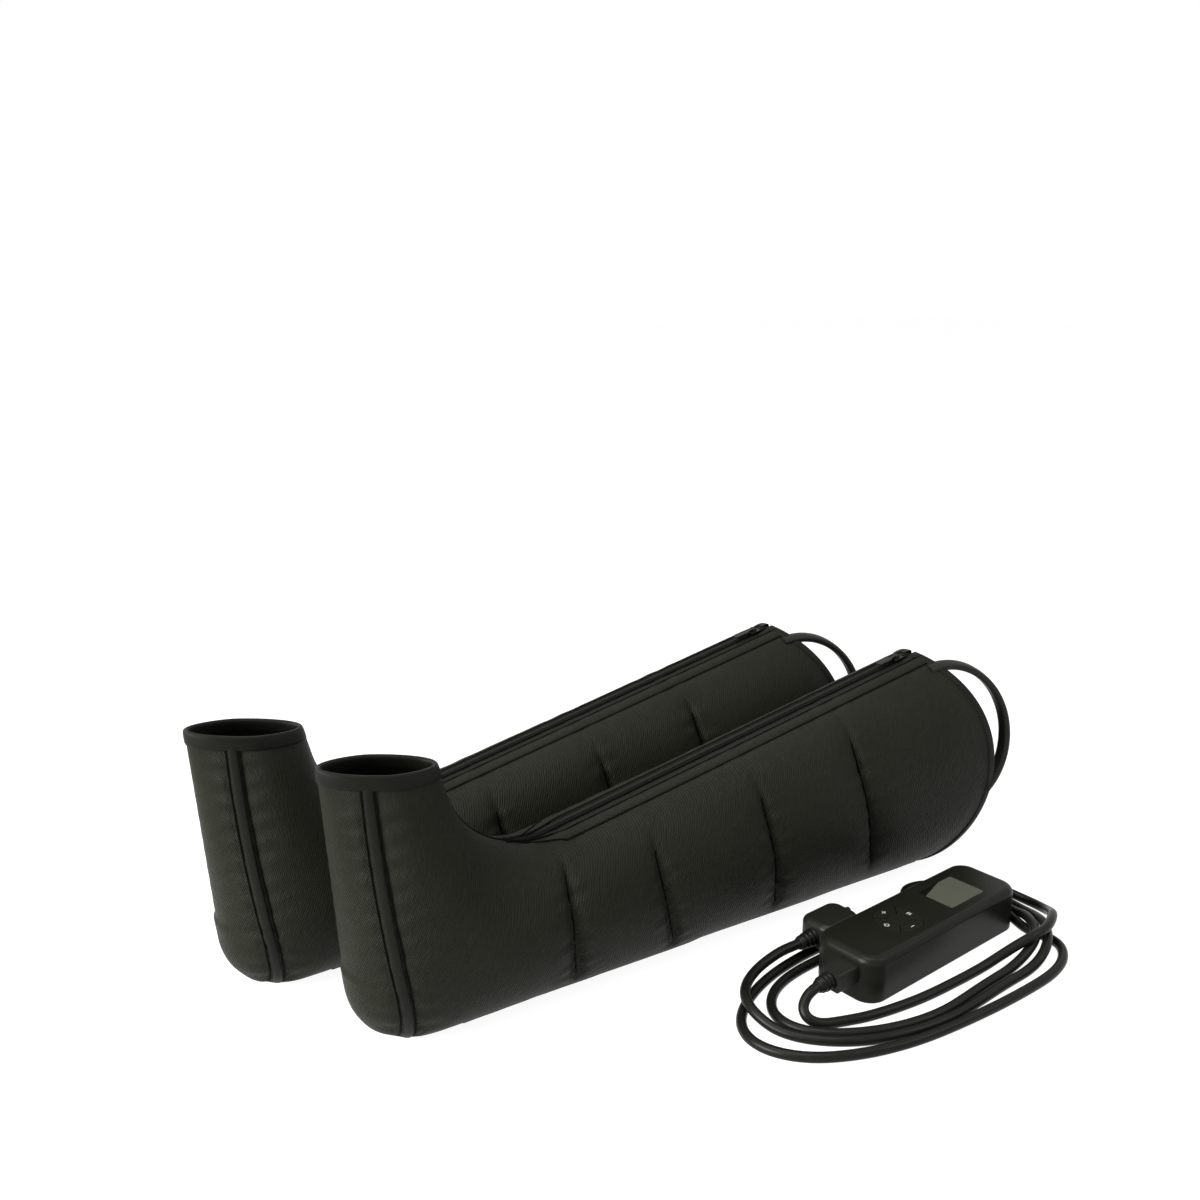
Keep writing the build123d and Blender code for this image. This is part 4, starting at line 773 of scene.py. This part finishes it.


# ---------------------------------------------------------------- zips
# Two woven tapes with two rows of nylon teeth, sewn into the slot along the instep's end and the
# shin; near-black stitched lines beside them and in the seams, which also paint the seams' shade;
# and near-black lines of painted crease shade on the welds.  The slider and its pull are
# enamelled zinc and run on the teeth.

TAPE_PROFILE = ((2.4, -1.8), (2.4, -0.6), (4.0, -0.4), (6.2, -0.3), (8.4, -0.9), (8.4, -1.9))
TAPE_MIDDLE = ((2.6, -1.75), (0.0, -1.75), (-2.6, -1.75))      # closes the gap under the teeth
# sections of the near-black lines: stitching that also paints the shade in the seams' grooves
STITCH_AND_SHADE_PROFILE = ((-0.6, -0.3), (-0.5, 0.5), (0.0, 0.7), (0.5, 0.5), (0.6, -0.3))
# section of a near-black line along each weld: painted crease shade, since the welds are not
# stitched
WELD_SHADE_PROFILE = ((-0.55, -0.5), (-0.4, 0.25), (0.0, 0.4), (0.4, 0.25), (0.55, -0.5))
INSTEP_PROFILE = ((-1.6, -0.6), (-1.2, 0.5), (-0.01, 0.9), (1.2, 0.5), (1.6, -0.6))
STITCH_AND_SHADE_LINES = (8.6, WELT_LINE_AT)     # dark stitched lines beside the zip, from its middle, which also paint the seams' shade
LINE_SPREAD, LINE_START = 24, 0.12     # rows over which they part from the instep line
SEAM_LINE_AT = 4.1                     # near-black stitched lines on both sides of the piping, which also paint the shade in the seam's grooves
BASE_LINE_START, BASE_LINE_POINTS = 14.0, 160
WELD_SHADE_LINE, WELD_SHADE_POINTS = (-0.05, 0.86), 40
TOOTH_PITCH, TOOTH_HALF = 1.6, 0.36
ZIP_ENDS = (2, 8)                      # from the slot's two ends to the first and last tooth
TOOTH_PROFILE = ((-0.5, 0.0), (-0.5, -1.2), (2.3, -1.6), (2.3, -0.1), (1.7, 0.5), (0.6, 0.5))
nylon = moulded("zip_nylon", (0.0012, 0.0013, 0.0009), (0.0036, 0.0038, 0.0027), 1800, 0.45, 0.06)
enamel = moulded("zip_metal", (0.0040, 0.0042, 0.0030), (0.0090, 0.0094, 0.0070), 900, 0.32)
# near-black thread: its lines are stitching that also paints the shade in the seams' grooves, and
# painted crease shade on the welds
thread_and_painted_shade, stuff = blank_material("seam_thread_and_painted_shade")
twist = stuff.grain(1400, 2.0)
stuff.principled({"Base Color": twist.blend((0.0006, 0.0006, 0.0004), (0.0026, 0.0028, 0.0020)),
                  "Roughness": 0.8 + twist * 0.1, "Specular IOR Level": 0.04})


def on_shin(side, rows, across, up):
    """Points at a distance from the zip's middle, raised along the cloth's normals."""
    place = np.interp(abs(across), FIRST_COLUMNS, range(len(FIRST_COLUMNS)))
    low, share = int(place), place - int(place)
    grid, normals = covers[side], smooth_normals
    point = grid[rows, low] * (1 - share) + grid[rows, low + 1] * share
    normal = normals[rows, low] * (1 - share) + normals[rows, low + 1] * share
    return (point + normal * up) * (1, -1 if across < 0 else 1, 1)


def shin_strip(side, rows, profile):
    return np.stack([on_shin(side, rows, across, up) for across, up in profile], 1)


def add_prism(points, faces, near, far):
    """Adds a closed prism between two outlines that run anticlockwise seen from the far one."""
    first, count = len(points), len(near)
    points += [*near, *far]
    faces.append([first + corner for corner in reversed(range(count))])
    faces.append([first + count + corner for corner in range(count)])
    for corner in range(count):
        beside = (corner + 1) % count
        faces.append([first + corner, first + beside, first + count + beside,
                      first + count + corner])


zip_rows = np.nonzero(zip_open)[0][:-1]        # the last row is the hem itself
instep_rows = np.arange(4, zip_rows[0] + 3)
line_shares = np.clip(np.arange(len(zip_rows)) / LINE_SPREAD, LINE_START, 1)
base_line_x = np.linspace(BASE_LINE_START, KNEE_X - 2, BASE_LINE_POINTS)
base_line_z = np.full(BASE_LINE_POINTS, BASE_SEAM_Z)
weld_shade_heights = np.linspace(*WELD_SHADE_LINE, WELD_SHADE_POINTS)
tooth_at = np.arange(zip_start + ZIP_ENDS[0], foot_instep + shin_run - ZIP_ENDS[1], TOOTH_PITCH)
tooth_place = instep_line(tooth_at)
tooth_run = instep_line(tooth_at + 0.05) - tooth_place
tooth_run /= np.linalg.norm(tooth_run, axis=1, keepdims=True)

for side, where in SLEEVES.items():
    strips = [shin_strip(side, zip_rows, [(sign * across, up) for across, up in profile])
              for sign, profile in ((1, TAPE_PROFILE), (-1, TAPE_PROFILE[::-1]))]
    strips.append(shin_strip(side, zip_rows, TAPE_MIDDLE))
    tapes = joined(f"{side}_zip_tape_pair", strips, where)
    finish(tapes, tape)
    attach(tapes, "base")
    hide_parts(f"{side}_zip_tapes")

    # the near-black lines: stitching on the instep, zip, base and sole seams that also paints
    # their shade
    strips = [shin_strip(side, instep_rows, INSTEP_PROFILE)]
    for sign in (1, -1):
        for line in STITCH_AND_SHADE_LINES:
            strips.append(np.stack([
                [on_shin(side, row, sign * (line * share + across), up)
                 for across, up in STITCH_AND_SHADE_PROFILE[::sign]]
                for row, share in zip(zip_rows, line_shares)]))
        strips.append(strip_on_cover(side, base_line_x, base_line_z, STITCH_AND_SHADE_PROFILE, sign))
        for beside in (-SEAM_LINE_AT, SEAM_LINE_AT):
            strips.append(strip_on_cover(side, seam_x(seam_heights) + beside, seam_heights,
                                         STITCH_AND_SHADE_PROFILE, sign))
        # painted crease shade: a near-black line down each weld
        for weld in WELDS:
            _, top_z, _, foot_z, _ = weld
            strips.append(strip_on_cover(side, weld_x(weld, weld_shade_heights, WELD_SHIFT[side]),
                                         foot_z + (top_z - foot_z) * weld_shade_heights,
                                         WELD_SHADE_PROFILE, sign))
    threads_and_painted_shade = joined(f"{side}_seam_threads_and_painted_shade", strips, where)
    finish(threads_and_painted_shade, thread_and_painted_shade)
    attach(threads_and_painted_shade, "base")

    points, faces = [], []
    for (x, z), (run_x, run_z) in zip(tooth_place, tooth_run):
        for sign, lag in ((1, 0.0), (-1, TOOTH_PITCH / 2)):
            ends = []
            for along in (lag - TOOTH_HALF, lag + TOOTH_HALF):
                ends.append([(x - run_z * up + run_x * along, sign * across,
                              z + run_x * up + run_z * along)
                             for across, up in TOOTH_PROFILE[::sign]])
            add_prism(points, faces, *ends)
    coil = mesh_piece(f"{side}_zip_teeth", on_floor(np.array(points), where), faces)
    finish(coil, nylon)
    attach(coil, "base")
    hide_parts(f"{side}_zip_coils")
    for node in ("zip_slider", "zip_pull"):
        finish(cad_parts[f"{side}_{node}"], enamel)


# ---------------------------------------------------------------- pull loops and air ports
# A thick rounded strap sewn into each knee hem at two places, and a moulded nipple in the hidden
# side that the hose's plug is pushed onto.

LOOP_SECTION = (
    (-5.1, 0.0), (-4.7, 1.8), (-3.3, 2.9), (-1.1, 3.0), (0.0, 3.2), (1.1, 3.0), (3.3, 2.9),
    (4.7, 1.8), (5.1, 0.0), (4.7, -1.8), (3.3, -2.9), (0.0, -3.0), (-3.3, -2.9), (-4.7, -1.8))
LOOP_STEPS = 40
LOOP_LEAN = Vector((0, 1, 0.3))        # which way the strap's broad side faces
loop_start = Vector((KNEE_X - 2, -0.38 * KNEE_HALF, knee_top - 9))
loop_top = Vector((KNEE_X + HEM_BELLY + 21, -0.75 * KNEE_HALF, knee_top - 50))
loop_end = Vector((KNEE_X + HEM_BELLY - 3, -KNEE_HALF + 4, HEM_BELLY_Z))
webbing = cloth("webbing", (0.0030, 0.0032, 0.0022), (0.0085, 0.0090, 0.0064),
                0.0009, 0.00014, 0.42, 0.15)
port_plastic = moulded("port_plastic", (0.010, 0.010, 0.009), (0.022, 0.022, 0.020), 1500, 0.42)

# the strap follows the circle through its three points
to_top, to_end = loop_top - loop_start, loop_end - loop_start
plane = to_top.cross(to_end)
loop_centre = loop_start + (plane.cross(to_top) * to_end.length_squared
                            + to_end.cross(plane) * to_top.length_squared) \
    / (2 * plane.length_squared)
plane.normalize()
spoke, last_spoke = loop_start - loop_centre, loop_end - loop_centre
sweep = spoke.angle(last_spoke)
if spoke.cross(last_spoke).dot(plane) < 0:
    sweep = 2 * pi - sweep
for side, where in SLEEVES.items():
    rings = []
    for step in range(LOOP_STEPS + 1):
        turn = sweep * step / LOOP_STEPS
        out = spoke * cos(turn) + plane.cross(spoke) * sin(turn)
        centre = loop_centre + out
        run = plane.cross(out).normalized()
        flat = (LOOP_LEAN - run * LOOP_LEAN.dot(run)).normalized()
        up = run.cross(flat)
        rings.append([centre + flat * across + up * high for across, high in LOOP_SECTION])
    strap = grid_piece(f"{side}_pull_strap", np.array(rings), where)
    rounded(strap)
    finish(strap, webbing)
    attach(strap, "base")
    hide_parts(f"{side}_pull_loop")
    finish(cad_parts[f"{side}_air_port"], port_plastic)


# ---------------------------------------------------------------- pump unit
# Satin black moulded case in two halves with a round key pad and a smoked window with a painted
# reflection; inside are the board, the cells, and the motor with its diaphragm pump and valves.

case_plastic = moulded("case_plastic", (0.0045, 0.0048, 0.0030), (0.0080, 0.0084, 0.0058),
                       1300, 0.30, 0.10)
key_plastic = moulded("key_plastic", (0.0052, 0.0055, 0.0036), (0.0090, 0.0094, 0.0066),
                      1500, 0.34, 0.10)
EDGE_SLOPE, EDGE_START = 0.29, 0.0029       # slanted edge between the window's dark corner and its painted reflection
window_gloss, stuff = blank_material("window_gloss")
spot = stuff.make("ShaderNodeTexCoord", output=3)
lengthwise, crosswise = (stuff.make("ShaderNodeVectorMath", {"operation": "DOT_PRODUCT"},
                                    {0: spot, 1: way}, output=1)
                         for way in (along_unit, across_unit))
# painted reflection: beyond the slanted edge the window's colour turns pale grey-green
painted_reflection = stuff.math("LESS_THAN", crosswise - lengthwise * EDGE_SLOPE, EDGE_START)
haze = stuff.grain(60, 3.0)
smoke_and_painted_reflection = (painted_reflection * (0.85 + haze * 0.15)).blend((0.004, 0.004, 0.003), (0.070, 0.072, 0.055))
stuff.principled({"Base Color": smoke_and_painted_reflection, "Roughness": 0.10 + haze * 0.06, "Specular IOR Level": 0.4})
UNIT_FINISHES = {
    "housing_top": case_plastic, "housing_base": case_plastic, "display_window": window_gloss,
    "key_mode": key_plastic, "key_plus": key_plastic, "key_power": key_plastic,
    "key_minus": key_plastic, "key_centre": key_plastic,
    "display": moulded("display_panel", (0.010, 0.011, 0.011), (0.016, 0.017, 0.017), 300, 0.12),
    "circuit_board": moulded("board_laminate", (0.012, 0.075, 0.035), (0.02, 0.10, 0.05),
                             700, 0.4),
    "key_sheet": moulded("seal_rubber", (0.16, 0.16, 0.16), (0.22, 0.22, 0.22), 900, 0.6),
    "battery": moulded("battery_wrap", (0.04, 0.10, 0.22), (0.06, 0.14, 0.28), 500, 0.35),
    "pump_case": moulded("pump_plastic", (0.045, 0.045, 0.045), (0.07, 0.07, 0.07), 900, 0.5),
    "pump_motor": moulded("motor_steel", (0.40, 0.40, 0.39), (0.52, 0.52, 0.51), 700, 0.32),
    "housing_screws": moulded("screw_steel", (0.07, 0.07, 0.07), (0.12, 0.12, 0.12), 900, 0.35)}
for node, like in (("inner_tubes", "key_sheet"), ("pump_head", "pump_case"),
                   ("valve_block", "pump_case"), ("hose_socket", "pump_case"),
                   ("pump_rotor", "pump_motor"), ("air_valves", "pump_motor"),
                   ("charge_socket", "pump_motor")):
    UNIT_FINISHES[node] = UNIT_FINISHES[like]
for node, material in UNIT_FINISHES.items():
    finish(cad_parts[node], material)


# ---------------------------------------------------------------- key signs
# Pale printed signs on the four ring keys: a plus, a minus, an on-off ring, and three bars for
# the mode.  Each is a thin film on its key and moves with it.

PAD_X, SIGN_RADIUS, SIGN_TOP, FILM = -25.5, 12.6, 34.03, 0.05
SPAN, STROKE = 3.4, 0.7                                # plus and minus
MODE_SPAN, MODE_STROKE, MODE_PITCH = 3.2, 0.6, 1.2
RING_RADIUS, RING_STROKE, RING_STEPS, RING_GAP = 1.6, 0.6, 14, 0.6
ON_BAR_Y, ON_BAR_SPAN = 1.3, 1.7
ink, stuff = blank_material("sign_ink")
worn = stuff.grain(1500, 2.0)
stuff.principled({"Base Color": worn.blend((0.30, 0.30, 0.28), (0.46, 0.46, 0.43)),
                  "Roughness": 0.5 + worn * 0.1})


def bar(x, y, long, wide):
    """A flat bar's outline round its middle: its size along the unit, then across it."""
    return [(x + sx * long / 2, y + sy * wide / 2)
            for sx, sy in ((-1, -1), (1, -1), (1, 1), (-1, 1))]


def open_ring():
    """The on-off sign's ring as short bars that overlap a little."""
    inner, outer = RING_RADIUS - RING_STROKE / 2, RING_RADIUS + RING_STROKE / 2
    step = (2 * pi - 2 * RING_GAP) / RING_STEPS
    half = step / 2 + 0.01
    shapes = []
    for number in range(RING_STEPS):
        turn = pi / 2 + RING_GAP + step * (number + 0.5)
        ends = ((inner, -half), (outer, -half), (outer, half), (inner, half))
        shapes.append([(radius * cos(turn + aside), radius * sin(turn + aside))
                       for radius, aside in ends])
    return shapes


SIGNS = (                                              # sign, body, place on the pad, shapes
    ("plus", "plus_key", (0, 1), [bar(0, 0, SPAN, STROKE), bar(0, 0, STROKE, SPAN)]),
    ("minus", "minus_key", (0, -1), [bar(0, 0, SPAN, STROKE)]),
    ("mode", "mode_key", (1, 0), [bar(0, y, MODE_SPAN, MODE_STROKE)
                                  for y in (-MODE_PITCH, 0, MODE_PITCH)]),
    ("power", "power_key", (-1, 0), open_ring() + [bar(0, ON_BAR_Y, RING_STROKE, ON_BAR_SPAN)]))
for name, body, toward, shapes in SIGNS:
    points, faces = [], []
    for shape in shapes:
        low, high = ([(along_unit * (PAD_X + toward[0] * SIGN_RADIUS + x)
                       + across_unit * (toward[1] * SIGN_RADIUS + y)
                       + Vector((0, 0, SIGN_TOP + top))) / 1000 for x, y in shape]
                     for top in (0.0, FILM))
        add_prism(points, faces, low, high)
    sign = mesh_piece(f"{name}_sign", points, faces)
    finish(sign, ink)
    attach(sign, body)
